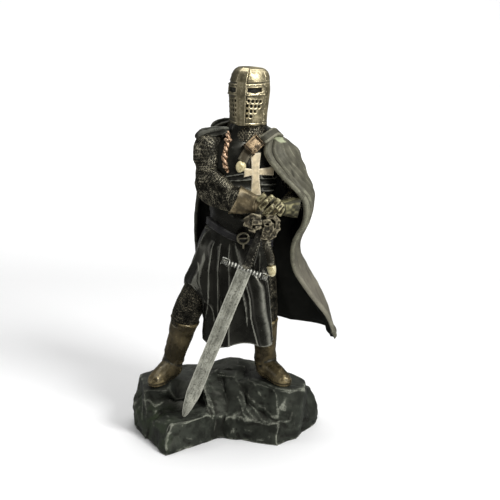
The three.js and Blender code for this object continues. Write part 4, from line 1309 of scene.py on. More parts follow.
def make_belt():
    """The belt with its ring, and the dagger in its scabbard."""
    c, s = colours(), sizes()
    dark = paint("belt paint", c["belt"], (0.11, 0.11, 0.105), c["wash"], rough=0.36, start=0.5, wear=0.7,
                 patch=8, grain=0.6, bump=0.25, gloss=0.5)
    metal = paint("dull brass", (0.085, 0.075, 0.048), (0.38, 0.35, 0.25), c["wash"], metallic=0.8,
                  rough=0.36, start=0.3, patch=3, grain=0.5)
    figure("belt", belt(s), dark, reach=0.8)
    figure("belt_ring", belt_ring(), metal, reach=0.6)
    make_scabbard()


# Cross, strap and cord

CROSS_MIDDLE = (9.45, 68.6)
CROSS_THICKNESS = 2.2
CROSS_FLARE = 1.2  # how much wider a bar is at its ends than at its waist, in shares


def cross_bar(upright, before, after, relief):
    """One bar of the cross, which widens to both ends: the upright or the beam across it."""
    run = np.linspace(-before, after, 90)[:, None]
    across = np.linspace(-0.5, 0.5, 26)[None, :]
    reach = np.where(run < 0, before, after)
    waist = 2.3 if upright else 1.9
    spread = across * lerp(waist, waist + CROSS_FLARE, abs(run / reach) ** 1.6)
    x, z = (spread, run) if upright else (run, spread)
    points = chest_at(CROSS_MIDDLE[0] + x, CROSS_MIDDLE[1] + z, relief - 0.6)
    return slab(points, CROSS_THICKNESS + 0 * spread, FRONT)


def make_cross():
    """The cream cross on the chest."""
    c, s = colours(), sizes()
    cream = paint("cream paint", c["cream"], (0.76, 0.68, 0.5), (0.12, 0.08, 0.04), rough=0.42, start=0.4,
                  patch=4, grain=0.7, mottle=0.22, bump=0.15)
    relief = s["cross_relief"]
    bars = [cross_bar(True, 7.4, 5.8, relief), cross_bar(False, 3.5, 5.5, relief - 0.15)]
    figure("cross", together(bars), cream, reach=0.7)


def strap_grid(line, outward, width, columns=22, rows=130):
    """A grid of points across and along a flat strap over a smooth line."""
    line = np.array(line, float)
    chord = chords(line)
    path = profile(np.column_stack([chord, line]))
    run = np.linspace(0, chord[-1], rows)
    middle = path(run).T
    way = unit(np.gradient(middle, axis=0))
    share = (run / chord[-1])[:, None]
    side = unit(np.cross(way, unit(outward(share))))
    offset = np.linspace(-0.5, 0.5, columns)[None, :, None]
    return middle[:, None] + side[:, None] * offset * width


def make_strap():
    """The shoulder strap, from behind the left shoulder down over the chest."""
    c, s = colours(), sizes()
    hide = paint("strap paint", c["leather"], (0.2, 0.19, 0.14), c["wash"], rough=0.45, start=0.4,
                 patch=5, grain=0.6)
    hide.over(hide.times(hide.near(chest_at(6.4, 73.6, 2), 10), 0.6), (0.055, 0.04, 0.022))

    def outward(share):
        return np.concatenate([lerp(0.5, -0.1, share), -1 + 0 * share, lerp(1.3, 0.1, share)], 1)

    line = [pose(17.1, 1.4, 79.2), pose(15.6, -2.4, 80.3), pose(12.6, -6, 78.9)]
    line += [chest_at(8.9, 76.6, 1.6), chest_at(6.9, 74.5, 1.2), chest_at(5.4, 72, 1.1)]
    points = strap_grid(line, outward, s["strap_width"])
    across = np.linspace(-1, 1, points.shape[1])[None, :]
    points = lifted(points, 0.25 * hump(abs(across) - 0.8, 0.1) + 0.1 * noise(points, 2.5), False, FRONT)
    figure("shoulder_strap", slab(points, 2 * s["strap_thickness"], FRONT), hide, reach=0.8)


def make_buckle():
    """The strap's square buckle: a plate in a raised frame, tilted on the shoulder."""
    c = colours()
    brown = paint("buckle paint", (0.085, 0.058, 0.034), (0.6, 0.44, 0.26), c["wash"], metallic=0.35,
                  rough=0.4, start=0.75, patch=4, grain=0.6)
    centre = chest_at(8.6, 77, 4.6)
    face = unit([0.15, -1, 0.25])
    right = np.array([0.72, 0.1, 0.68])
    right = unit(right - face * (right @ face))
    up = np.cross(face, right)
    wide, tall, edge = 5.2 * SHARE, 4.2 * SHARE, 1.2
    parts = [bar(centre - face * 0.2, right, face, (wide - 1, tall - 1, 2.6), bevel=0.5)]
    for way, other, length_along, offset in ((right, up, tall, wide), (up, right, wide, tall)):
        for sign in (-1, 1):
            place = centre + way * sign * (offset - edge) / 2 + face * 0.5
            parts.append(bar(place, other, face, (length_along, edge, 3.0), bevel=0.5, segments=3))
    buckle = together(parts)
    places = places_of(buckle)
    put_back(buckle, places + (0.15 * noise(places, 1.6))[:, None] * face)
    figure("strap_buckle", buckle, brown, reach=0.8)


def heart(centre, size):
    """A plump heart lying on the chest, its point to the lower right."""
    polar = np.linspace(0, 1, 20)[:, None]
    turn = turns(64)
    point = 1 + 0.2 * hump(turn + PI / 2, 0.5) - 0.2 * hump(turn - PI / 2, 0.3)
    reach = size * np.sin(polar * PI) * point
    lean = np.radians(20)
    level = np.cos(lean) * UP + np.sin(lean) * unit(np.cross(UP, FRONT))
    across = np.cross(FRONT, level)
    ball = centre + (reach * np.cos(turn))[..., None] * across
    ball = ball + (reach * np.sin(turn))[..., None] * level * 1.08
    return grid(ball + (2.6 * np.cos(polar * PI) + 0 * turn)[..., None] * FRONT, True)


def make_strap_end():
    """The strap's heart-shaped gold end."""
    c = colours()
    gold = paint("gold trim", c["gold"], (0.74, 0.66, 0.4), (0.1, 0.07, 0.025), metallic=0.35, rough=0.36,
                 start=0.35, patch=3, grain=0.6, mottle=0.25)
    figure("strap_end", heart(chest_at(5.1, 70.6, 1.2), 1.6 * SHARE), gold, reach=0.8)


def make_cord():
    """The twisted copper cord down the right of the chest, with three knots."""
    c = colours()
    copper = paint("copper paint", c["copper"], c["copper_light"], c["wash"], metallic=0.55, rough=0.36,
                   start=0.3, patch=3, grain=0.5)

    def twist(around, along, points):
        strands = abs(np.sin(PI * (around * 2 + along / 4.6)))
        knot = hump(along - 6.5, 1.4) + hump(along - 19, 1.5) + 0.6 * hump(along - 27, 1.2)
        return 0.7 * strands**0.7 - 0.35 + 0.8 * knot + 0.4 * noise(points, 1.3) * (1 + knot)

    line = [pose(0.9, -4.7, 80.9)]
    line += [chest_at(x, z, 1.3) for x, z in ((1.5, 78.8), (0.85, 76), (0.3, 73), (0.45, 71.4), (1.3, 68.5))]
    girths = np.array([0.48, 0.6, 0.56, 0.58, 0.6, 0.36]) * SHARE
    rope = tube(line, girths, columns=64, step=0.3, lift=twist)
    figure("twisted_cord", rope, copper, reach=0.7)


def make_badges():
    """The cream cross, the shoulder strap with its buckle and end, and the twisted cord."""
    make_cross()
    make_strap()
    make_buckle()
    make_strap_end()
    make_cord()


# Cloak

CLOAK_MIDDLE = (7.1, 0.8)  # what the cloak goes round
# The cloak by its share of the fall: how far its front edge reaches from that middle, then how far and
# how high its left side, its back and its right side are, all in shares of the height.
CLOAK = profile([
    [0, 8.6, 8.8, 79.4, 5.4, 81.6, 6, 81.4],
    [0.08, 8.8, 11, 78.2, 7.2, 80.2, 10, 80.6],
    [0.18, 10.2, 15.4, 74.4, 7.8, 74, 13.4, 77],
    [0.32, 14.2, 18.2, 67.4, 8.2, 65, 15.6, 68],
    [0.44, 19.9, 20.6, 60.4, 8.6, 57.5, 17.2, 59],
    [0.53, 18.9, 19.6, 53, 9, 51.9, 17.9, 52.7],
    [0.62, 14.5, 17.4, 45, 9.6, 46, 18.2, 47],
    [0.71, 14.5, 20.6, 36.9, 10.6, 39.1, 18.1, 42.2],
    [0.8, 19.5, 24.8, 29, 11.6, 32, 17.8, 38],
    [0.9, 25.8, 28.9, 20.8, 12.5, 24.6, 17.7, 34.1],
    [1, 29.8, 31.6, 12.8, 13.4, 17.4, 17.6, 30.6],
])
# Where its front edge and its far edge stand round that middle, in degrees, by the share of the fall.
CLOAK_EDGES = profile([
    [0, -24, 200],
    [0.08, -46, 192],
    [0.18, -58, 180],
    [0.32, -42, 170],
    [0.44, -28, 162],
    [0.53, -20.5, 160.4],
    [0.62, -17, 160],
    [0.71, -12.7, 159.4],
    [0.8, -10, 159],
    [0.9, -4.1, 159],
    [1, 1.5, 159],
])


def cloak_at(across, fall):
    """The cloak's outside, from its front edge round the back, with its broad folds."""
    front_reach, left_reach, left_up, back_reach, back_up, right_reach, right_up = CLOAK(fall)
    front, far = CLOAK_EDGES(fall)
    degrees = lerp(front, far, across)
    from_front = smooth(degrees, front, np.maximum(front + 26, 4))
    to_back, to_right = smooth(degrees, 6, 84), smooth(degrees, 92, 156)

    def mix(left, back, right):
        return lerp(lerp(left, back, to_back), right, to_right)

    swing = np.radians(degrees) * 9 + 2.4 * fall
    wave = (np.sqrt(np.cos(swing / 2) ** 2 + 0.004) - 0.7) * 2.4 * smooth(fall, 0.1, 0.7)
    reach = mix(lerp(front_reach, left_reach, from_front), back_reach, right_reach) + wave
    turn = np.radians(degrees)
    x, y = CLOAK_MIDDLE
    return pose(x + reach * np.cos(turn), y + reach * np.sin(turn), mix(left_up, back_up, right_up))


# Creases beside the front edge: distance from it, drift away from it down the cloak, height, width.
CREASES = (
    (9, 2, 0.7, 1.4),
    (14, 10, 0.7, 1.4),
    (18, 24, 1.0, 1.8),
    (25, 34, 0.8, 1.9),
    (33, 34, 0.8, 2.3),
    (44, 26, 0.8, 2.5),
)
# Lumps of the cloak over the left shoulder, in millimetres: place and height.
LUMPS = (((44, 1, 227), 0.9), ((53.5, 3, 218.5), 1.2), ((57.9, -1, 205), 0.8))
WORN_PLACE = (40.3, -5.4, 228.1)
EDGE_ROLL = 5.6  # how wide the rolled front edge is, in millimetres
CLOAK_DROP = 160  # about how long the cloak hangs, in millimetres
RIM_DROP = 165  # the length by which its top and its hem are rounded
CLOAK_COLUMNS = 160
CLOAK_ROWS = 180
# The turned-over top, behind the neck and over the right shoulder: lines in shares, and girths.
ROLLS = (
    (((-4, 2.4, 81.2), (-1, 3.6, 82.2), (3, 5.4, 82.4), (8, 6.2, 81.4), (13, 5, 79.8), (16, 2.2, 78)),
     (1.2, 1.3, 1.45, 1.45, 1.45, 1.45)),
    (((-8, -0.8, 77.6), (-6.9, -2.2, 79.6), (-4.6, -3.4, 80.4), (-1.6, -4, 80.8), (1.2, -4.4, 81.2)),
     (1.3, 1.4, 1.3, 1.15, 0.95)),
)


def cloak_lift(points, fall, edge, far):
    """How far the outside stands out: rolled edges, creases beside the front one, lumps and dents."""
    lift = 1.5 * np.sqrt(np.clip(1 - ((edge - EDGE_ROLL / 2) / (EDGE_ROLL / 2)) ** 2, 0, 1))
    lift = lift - 0.9 * hump(edge - EDGE_ROLL - 0.5, 0.7)
    upper = smooth(fall, 0.04, 0.12) * (1 - smooth(fall, 0.5, 0.66))
    for start, drift, height, width in CREASES:
        away = edge - start - drift * (fall - 0.3) - 1.4 * noise(points, 16, start)
        lift = lift + upper * height * fold(away, width)
    lift = lift + 0.7 * noise(points, 12) * smooth(edge, 5, 12) + 0.2 * noise(points, 4, 1)
    lift = lift + 0.5 * hump(far - 2.5, 1.8) + 0.7 * hump((1 - fall) * CLOAK_DROP - 2, 1.6)
    for place, height in LUMPS:
        lift = lift + height * hump(np.linalg.norm(points - place, axis=-1), 5)
    return lift


def cloak_paint():
    """Olive grey, worn at the shoulder, greyer at the corner, with its lining black and painted shade in that
    black on its far part.
    """
    c = colours()
    p = paint("cloak paint", c["cloak"], c["cloak_light"], (0.016, 0.015, 0.011), rough=0.5, start=0.5,
              wear=0.7, patch=9, grain=0.7, bump=0.6, mottle=0.2)
    p.over(p.ramp(p.read("worn"), 0.35, 0.6), (0.4, 0.43, 0.28))
    p.over(p.times(p.near(pose(30, -4, 28), 45), 0.45), (0.2, 0.18, 0.145))
    # The lining's black, also laid as painted shade on the outside's far part
    p.over(p.read("lining"), c["lining"])
    return p


def make_rolls():
    """The cloak's top, turned over into soft pleated rolls."""
    c = colours()

    def pleats(around, along, points):
        pleat = 0.7 * np.sin(around * 8 * PI + along * 0.12 + 1.5 * noise(points, 9, 2))
        return pleat + 1.1 * noise(points, 8) + 0.4 * noise(points, 3, 1)

    rolls = [
        tube([pose(*place) for place in line], np.array(girths) * SHARE, columns=52, step=0.7, lift=pleats)
        for line, girths in ROLLS
    ]
    dark = paint("cloak roll paint", (0.022, 0.022, 0.018), (0.11, 0.11, 0.09), c["wash"], rough=0.55,
                 start=0.5, patch=8, grain=0.8, mottle=0.3)
    figure("cloak_roll", together(rolls), dark, reach=1.2)


def make_cloak():
    """The cloak: folded outside with a rolled front edge, dark lining, painted shade on the outside's far
    part, and its turned-over top.
    """
    s = sizes()
    across = np.linspace(0, 1, CLOAK_COLUMNS)
    across = lerp(across, across**2, 0.35)[None, :]
    fall = np.linspace(0, 1, CLOAK_ROWS)
    fall = lerp(fall, (1 - np.cos(fall * PI)) / 2, 0.25)[:, None]
    across, fall = np.broadcast_arrays(across, fall)
    points = cloak_at(across, fall)
    normals = normals_of(points, False)
    flat = [1, 1, 0]
    middle = pose(*CLOAK_MIDDLE, 0) * flat
    normals = normals * np.sign(((points * flat - middle) * normals).sum())
    edge = lengths(points, 1)
    far = edge[:, -1:] - edge
    outer = points + normals * cloak_lift(points, fall, edge, far)[..., None]
    thick = s["cloak_thickness"]
    rim = np.minimum(np.minimum(edge, far), np.minimum(fall, 1 - fall) * RIM_DROP)
    half = (thick / 2 * rounded(rim / (thick / 2)))[..., None] * normals
    centre = outer - normals * thick / 2
    worn = hump(np.linalg.norm(points - WORN_PLACE, axis=-1), 5.5) + 0.25 * noise(points, 3, 7)
    # Painted shade over the cloak's far part, in the lining's black
    shaded = smooth(fall, 0.35, 0.5) * smooth(across, 0.8, 0.93)
    lining = np.maximum(smooth(np.minimum(edge, far), 1.0, 2.6), shaded)
    outside = grid(centre + half, lining=0.8 * shaded, worn=worn)
    whole = together([outside, grid(centre - half, lining=lining)])
    bmesh.ops.remove_doubles(whole, verts=whole.verts, dist=WELD)
    figure("cloak", whole, cloak_paint(), reach=1.6)
    make_rolls()


# Sword

TIP = np.array([-0.42 * BASE_HALF[0], -0.71 * BASE_HALF[1], TIP_LEVEL + 0.1])
POMMEL = pose(13.75, -14.9, 58.4)
AXIS = unit(POMMEL - TIP)
SWORD_LENGTH = np.linalg.norm(POMMEL - TIP)
SWORD_OUT = unit(np.array([0, -1, 0]) + AXIS * AXIS[1])
SWORD_SIDE = np.cross(SWORD_OUT, AXIS)
POINT_LENGTH = 20  # the blade narrows to its point over this length
POINT_RUN = 18  # the point's rows are finer up to here
BLADE_POWER = 1.5
FULLER_START = (58, 66)  # the fuller sinks in between these, up from the point
FULLER_HALF = 1.25


def on_sword(side, up, out):
    """A place on the sword, in millimetres from its point: sideways, along it and outward."""
    side, up, out = (np.asarray(v, float)[..., None] for v in (side, up, out))
    return TIP + side * SWORD_SIDE + up * AXIS + out * SWORD_OUT


def pewter_paint():
    """Pewter scratched along the blade, dark down its middle and bright along its edges."""
    c = colours()
    p = paint("pewter paint", c["pewter"], (0.72, 0.73, 0.67), (0.05, 0.052, 0.046), metallic=0.45,
              rough=0.42, start=0.45, wear=0.8, patch=9, grain=0.8, bump=0.5, mottle=0.2)
    turned = Matrix((SWORD_SIDE, SWORD_OUT, AXIS)).transposed().to_euler()
    run = p.add("ShaderNodeMapping", {"Vector": p.place, "Rotation": tuple(turned), "Scale": (1, 1, 7)},
                vector_type="TEXTURE").outputs[0]
    streaks = p.add("ShaderNodeTexNoise", {"Vector": run, "Scale": 900, "Detail": 4.0, "Roughness": 0.6})
    scratch = p.ramp(streaks.outputs["Fac"], 0.42, 0.68)
    fine = p.ramp(p.noise(0.8, 2, 0.6), 0.5, 0.64)
    p.over(p.times(scratch, 0.6), (0.07, 0.073, 0.055))
    p.over(p.times(fine, 0.4), (0.04, 0.042, 0.034))
    p.over(p.times(p.read("middle"), 0.35), (0.1, 0.1, 0.075))
    p.over(p.times(p.read("keen"), 0.7), (0.66, 0.66, 0.56))
    return p


def blade(s):
    """The blade from its point to the guard, with a fuller along its upper half."""
    length_up, half_width = s["blade_length"], s["blade_width"] / 2
    rows = [np.linspace(0, 1, 60) ** 1.6 * POINT_RUN, np.linspace(POINT_RUN, length_up + 1, 130)[1:]]
    up = np.concatenate(rows)[:, None]
    full = np.sqrt(np.clip(up / POINT_LENGTH, 0, 1)) * 0.97 + 0.03
    side, out = oval(turns(72), half_width, s["blade_thickness"] / 2, BLADE_POWER)
    fuller = smooth(up, *FULLER_START) * hump(side / FULLER_HALF, 1) * 0.6
    out = np.sign(out) * np.maximum(abs(out) - fuller, 0.25 * (abs(out) > 0.01))
    points = on_sword(side * full, up + 0 * side, out * full)
    points = lifted(points, (0.12 * noise(points, 1.2) + 0.1 * noise(points, 4, 1)) * smooth(up, 0, 3))
    middle = hump(side / (0.6 * half_width), 1) * smooth(up, 30, 70)
    keen = smooth(abs(side) / half_width, 0.82, 0.95) + 0 * up
    return grid(points, True, middle=middle, keen=keen)


def guard(s):
    """The beaded guard, with a stepped block at each end."""
    long, up = s["guard_length"], s["blade_length"]

    def beads(around, along, points):
        return 0.42 * np.sin(along * 2 * PI / 2.4) + 0.25 * noise(points, 1.2)

    line = [on_sword(place, up, 0) for place in np.linspace(-0.5, 0.5, 9) * (long - 2)]
    parts = [tube(line, [1.6] * len(line), columns=40, step=0.25, lift=beads)]
    for end in (-1, 1):
        place = on_sword(end * (long - 5) / 2, up, 0)
        parts.append(bar(place, SWORD_SIDE, SWORD_OUT, (4.4, 4.4, 4.2), bevel=0.6, segments=3))
        parts.append(bar(place + SWORD_OUT * 2, SWORD_SIDE, SWORD_OUT, (2, 2, 1), bevel=0.4))
    return together(parts)


def grip(s):
    """The wrapped grip, from the guard up into the hands."""

    def wrap(around, along, points):
        beaded = hump(around - 0.7, 0.06)
        return beaded * (0.5 + 0.45 * np.sin(along * 2 * PI / 2.0)) + 0.1 * noise(points, 1.2)

    girths = np.array([1.05, 1, 0.94, 0.88, 0.85, 0.85]) * s["grip_radius"]
    line = [on_sword(0, up, 0) for up in np.linspace(s["blade_length"], SWORD_LENGTH, len(girths))]
    return tube(line, girths, columns=48, step=0.35, lift=wrap)


def grip_beads(s):
    """The row of studs up the front of the grip."""
    beads = []
    for count, up in enumerate(np.arange(4, 32, 2.6) + s["blade_length"]):
        reach = s["grip_radius"] * (0.78 - 0.012 * count)
        size = (1.3, 1.2 + 0.3 * (count % 3), 1.2)
        beads.append(bar(on_sword(-reach, up, 0.72 * reach), SWORD_SIDE, SWORD_OUT, size, bevel=0.35))
    return together(beads)


def make_sword():
    """The sword: speckled blade, beaded guard and wrapped grip with its studs."""
    c, s = colours(), sizes()
    silver = paint("silver paint", (0.26, 0.26, 0.235), (0.74, 0.74, 0.66), (0.012, 0.012, 0.011),
                   metallic=0.7, rough=0.38, start=0.3, patch=3, grain=0.5)
    dark = paint("grip paint", (0.022, 0.021, 0.017), (0.3, 0.28, 0.21), c["wash"], metallic=0.4,
                 rough=0.4, start=0.7, patch=4, grain=0.5, mottle=0.6)
    worn = paint("grip bead paint", (0.09, 0.085, 0.065), (0.42, 0.4, 0.32), c["wash"], metallic=0.5,
                 rough=0.4, start=0.2, patch=3, grain=0.5, mottle=0.5)
    sword_part("sword_blade", blade(s), pewter_paint(), reach=0.8)
    sword_part("sword_guard", guard(s), silver, reach=0.6)
    sword_part("sword_grip", grip(s), dark, reach=0.6)
    sword_part("grip_beads", grip_beads(s), worn, reach=0.5)


# Gauntlets

# The upper hand's fingers, thumb side first, and the lower hand's fingers and knuckles: the places
# along each in shares of the height, and its width in shares.
UPPER_HAND = (
    (((10.4, -15.6, 61.6), (12.2, -15.8, 63.1)), 1.5),
    (((11.2, -16.1, 59.5), (12.8, -16.7, 61.2), (14.5, -16, 62.7)), 1.5),
    (((12.5, -16.2, 57.6), (14.4, -17, 59.7), (16.3, -16, 61.6)), 1.5),
    (((14.6, -16, 57.3), (16.1, -16.6, 58.9), (17.4, -15.6, 60.2)), 1.4),
    (((16.6, -15.4, 57), (17.7, -15.2, 58.8)), 1.2),
)
LOWER_HAND = (
    (((6.7, -15.7, 55.5), (8.2, -16.2, 56.5)), 1.5),
    (((8.5, -16.4, 56.8), (10.7, -16.1, 56.5)), 1.7),
    (((6.4, -15.8, 54.3), (8.3, -16.3, 53.7)), 1.5),
    (((8.6, -16.7, 54.9), (11, -16.3, 54.9)), 1.6),
    (((7.9, -15.8, 52.6), (9.3, -16.3, 52.3)), 1.2),
    (((9.6, -16.4, 53.1), (10.9, -16, 53.5)), 1.3),
    (((13.2, -16, 56.5), (15.2, -16.2, 56.6), (16.1, -15.8, 55.2), (16.1, -15.6, 53), (15.1, -15.8, 50.9),
      (13.3, -16, 49.7)), 1.3),
    (((12.2, -16.6, 55.1), (13.4, -16.9, 55.4), (14.3, -16.9, 54.4), (14.3, -16.8, 52.8),
      (13.5, -16.6, 51.4)), 1.2),
    (((12.8, -16.7, 53.7), (12.4, -16.7, 52.3), (11.9, -16.3, 50.5)), 1.5),
)
FINGER_DEPTH = 1.7
PALM_GIRTHS = np.array([2.1, 2.3, 2.1])
WRIST_GIRTHS = np.array([2.2, 2.1])
HEEL_GIRTHS = np.array([2.3, 1.9])
HAND_VOXEL = 0.4
UPPER_PALM = ((12.2, -13.4, 61.3), (14.3, -13.6, 60), (16.3, -13.3, 58.8))
LOWER_PALM = ((8.1, -14.3, 54.8), (10.8, -14, 54.4), (13.4, -13.7, 52.4))


def hand_parts(fingers, palm, wrist):
    """The square-cut fingers of a closed hand over its palm, which reaches to the wrist."""
    out = np.array([0.1, -1, 0.2])
    parts = []
    for line, width in fingers:
        places = [pose(*place) for place in line]
        wide = width * SHARE
        for start, end in zip(places, places[1:]):
            size = (np.linalg.norm(end - start) + 0.5 * wide, wide, FINGER_DEPTH * SHARE)
            parts.append(bar((start + end) / 2, end - start, out, size, bevel=0.16 * wide))
    parts.append(tube([pose(*place) for place in palm], PALM_GIRTHS * SHARE, columns=40, step=0.6))
    parts.append(tube([pose(*palm[1]), wrist], WRIST_GIRTHS * SHARE, columns=32, flat=0.85))
    return parts


def carved(parts):
    """One rough-cut skin round the parts of a hand."""
    whole = remeshed(together(parts), HAND_VOXEL)
    places, out = places_of(whole), normals_on(whole)
    put_back(whole, places + out * (0.3 * noise(places, 2.4) + 0.15 * noise(places, 1.2, 1))[:, None])
    return whole


def cuff(wide, narrow, wide_radius, narrow_radius, seed, rim):
    """A flared cuff with a crisp, slanted rim and shallow dents."""
    axis = unit(narrow - wide)
    side = unit(np.cross(axis, UP))
    up = np.cross(side, axis)
    rim = unit(rim)

    def flare(share):
        return lerp(wide_radius, narrow_radius, 1 - (1 - share) ** 1.2)

    share = np.linspace(0, 1, 80)
    outer = flare(share) + 0.3 * hump(share - 0.93, 0.03)
    within = np.linspace(0, 0.35, 18)[::-1]
    share = np.concatenate([within, share])[:, None]
    radius = np.concatenate([flare(within) - 1.1, outer])[:, None]
    turn = turns(110)
    away = (radius * np.cos(turn))[..., None] * side + (radius * np.sin(turn))[..., None] * up
    slant = -(away @ rim) / (axis @ rim) * (1 - share) ** 1.5
    points = lerp(wide, narrow, share[..., None]) + away + slant[..., None] * axis
    facets = 0.5 * hump(turn - 1.1, 0.2) + 0.4 * hump(turn - 2.4, 0.2) - 0.4 * hump(turn - 1.7, 0.3)
    dents = 0.35 * noise(points, 7, seed) + 0.15 * noise(points, 2.2, seed + 1) + facets
    return grid(lifted(points, dents), True)


def make_cuffs():
    """The brown right cuff and the olive left one."""
    c = colours()
    brown = paint("cuff paint", c["cuff"], (0.37, 0.3, 0.18), c["wash"], metallic=0.2, rough=0.42,
                  start=0.45, wear=0.7, patch=7, grain=0.7, mottle=0.45)
    wide = POSE["right_cuff"] + np.array([-1.4, 0.6, -0.6]) * SHARE
    right = cuff(wide, POSE["right_wrist"], 4.7 * SHARE, 2.6 * SHARE, 1, (0.91, 0, -0.41))
    figure("right_cuff", right, brown, reach=1.2)
    olive = paint("olive cuff paint", c["olive"], (0.4, 0.37, 0.2), c["wash"], metallic=0.2, rough=0.42,
                  start=0.4, wear=0.75, patch=5, grain=0.7, mottle=0.55)
    wide = POSE["left_cuff"] + np.array([1.7, 0.4, 1]) * SHARE
    narrow = POSE["left_wrist"] + np.array([0, 0, 0.6]) * SHARE
    left = cuff(wide, narrow, 3.4 * SHARE, 2.2 * SHARE, 3, (-1, 0, 0.2))
    figure("left_cuff", left, olive, reach=1.2)


def make_gauntlets():
    """The flared cuffs and the two hands closed on the sword."""
    c = colours()
    make_cuffs()
    parts = hand_parts(LOWER_HAND, LOWER_PALM, POSE["right_wrist"])
    heel = [pose(13.4, -13.7, 55.2), pose(13.4, -13.7, 50.8)]
    parts.append(tube(heel, HEEL_GIRTHS * SHARE, columns=32))
    brown = paint("glove paint", (0.058, 0.049, 0.033), (0.34, 0.3, 0.2), c["wash"], metallic=0.3,
                  rough=0.36, start=0.5, wear=0.8, patch=3.5, grain=0.7, mottle=0.5)
    figure("right_hand", carved(parts), brown, reach=1.1)
    parts = hand_parts(UPPER_HAND, UPPER_PALM, POSE["left_wrist"])
    olive = paint("olive glove paint", (0.072, 0.057, 0.028), (0.36, 0.33, 0.19), c["wash"], metallic=0.3,
                  rough=0.36, start=0.45, wear=0.8, patch=3.5, grain=0.7, mottle=0.45)
    figure("left_hand", carved(parts), olive, reach=1.1)


# Boots

SHAFT_GIRTHS = np.array([4.7, 4.2, 3.75, 3.45, 3.35, 3.2])
FOOT_GIRTHS = np.array([2.8, 3.4, 3, 2.7, 1.9])
# The foot's line: how far along from the ankle to the toe, and how high, in shares.
FOOT = ((-0.28, 2.4), (0.1, 3.4), (0.45, 2.9), (0.8, 1.7), (1.1, 1.2))
SHAFT_END = (0.05, 1.5)
BOOT_VOXEL = 0.7


def slack(around, along, points):
    """A boot's turned top, two slack creases round its ankle, and dents."""
    made = 0.25 * hump(along - 1, 0.8) - 0.2 * hump(along - 3, 0.8)
    made = made + 0.7 * cusp(along - 33 + 3 * np.sin(around * 2 * PI), 1.3)
    made = made + 0.6 * cusp(along - 38 - 2 * np.sin(around * 2 * PI + 1), 1.2)
    return made + 0.5 * noise(points, 7)


def boot_parts(side):
    """One boot's shaft and foot."""
    knee, ankle, toe = (POSE[f"{side}_{joint}"] for joint in ("knee", "ankle", "toe"))
    top = lerp(knee, ankle, 0.1)

    def along_foot(share, height):
        x, y, _ = ankle + (toe - ankle) * share
        return np.array([x, y, SOLE + height * SHARE])

    shaft = [lerp(top, ankle, share) for share in (0, 0.25, 0.5, 0.8, 1)]
    shaft.append(along_foot(*SHAFT_END))
    foot = [along_foot(*place) for place in FOOT]
    return [
        tube(shaft, SHAFT_GIRTHS * SHARE, columns=110, step=0.5, lift=slack, ends=(1.2, 4)),
        tube(foot, FOOT_GIRTHS * SHARE, columns=80, step=0.6),
    ]


def make_boots():
    """The boots, with turned tops, creased ankles and welted soles."""
    c = colours()
    p = paint("boot paint", c["bronze"], c["bronze_light"], c["wash"], metallic=0.3, rough=0.3, start=0.6,
              wear=0.7, patch=12, grain=0.8, mottle=0.5, gloss=0.5)
    bm = remeshed(together(boot_parts("right") + boot_parts("left")), BOOT_VOXEL, smoothing=3)
    bmesh.ops.bisect_plane(
        bm, geom=bm.verts[:] + bm.edges[:] + bm.faces[:], plane_co=(0, 0, SOLE * MM), plane_no=(0, 0, 1),
        clear_inner=True
    )
    bmesh.ops.holes_fill(bm, edges=[edge for edge in bm.edges if edge.is_boundary], sides=0)
    places, out = places_of(bm), normals_on(bm)
    z = places[:, 2] - SOLE
    welt = 0.4 * inside(z, 0.2, 1.6, 0.5) - 0.25 * hump(z - 2.1, 0.4)
    lift = (0.3 * noise(places, 5) + 0.15 * noise(places, 1.8, 1) + welt) * smooth(z, 0.0, 0.6)
    places = places + out * lift[:, None]
    places[:, 2] = np.maximum(places[:, 2], SOLE)
    put_back(bm, places)
    figure("boots", bm, p, reach=1.2)


# Stage, in metres

FLOOR_WIDTH = 12
FLOOR_RUN = 9
FLOOR_FRONT = 2.5
FLOOR_BACK = 2.2
FLOOR_BEND = 1.2
SKY_STRENGTH = 0.18
# Each light: its name, its place, what it faces, its width and height, and its power in watts.
LIGHTS = (
    ("key", (0.8, -0.85, 1.05), (0, 0, 0.12), (0.4, 0.4), 17),
    ("side", (0.95, -0.75, 0.35), (0, 0, 0.16), (0.22, 0.6), 2.6),
    ("rim", (-0.9, -0.2, 0.5), (0, 0, 0.16), (0.2, 0.6), 0.8),
    ("top", (0.1, 0.3, 1.5), (0, 0, 0.1), (1.4, 1.4), 14),
    ("backdrop", (0.0, 0.9, 1.6), (0, 3.4, 0.9), (3.0, 1.0), 58),
)
CAMERA_PLACE = (0.0187, -0.85, 0.345)
CAMERA_TILT = np.radians(76.66)  # up from straight down
CAMERA_LENS = 83.5  # in millimetres, as its sensor is
CAMERA_SENSOR = 36


def make_floor():
    """Pale seamless paper, bent up behind the statue."""
    c = colours()
    bm = bmesh.new()
    bmesh.ops.create_grid(bm, x_segments=2, y_segments=60, size=0.5)
    for vert in bm.verts:
        run = (vert.co.y + 0.5) * FLOOR_RUN - FLOOR_FRONT
        bend = max(run - FLOOR_BACK, 0)
        turn = min(bend / FLOOR_BEND, PI / 2)
        y = min(run, FLOOR_BACK) + FLOOR_BEND * np.sin(turn)
        z = FLOOR_BEND * (1 - np.cos(turn)) + max(bend - FLOOR_BEND * PI / 2, 0)
        vert.co = (vert.co.x * FLOOR_WIDTH, y, z)
    p = Paint("floor paper")
    tone = p.ramp(p.noise(400, 2), 0.3, 0.7)
    p.put(p.shader.inputs["Base Color"], p.mix(tone, c["floor"], tuple(v * 0.99 for v in c["floor"])))
    p.put(p.shader.inputs["Roughness"], 0.9)
    p.put(p.shader.inputs["Specular IOR Level"], 0.1)
    floor = linked("floor", smooth_mesh("floor", bm))
    floor.data.materials.append(p.material)
    floor.visible_glossy = False


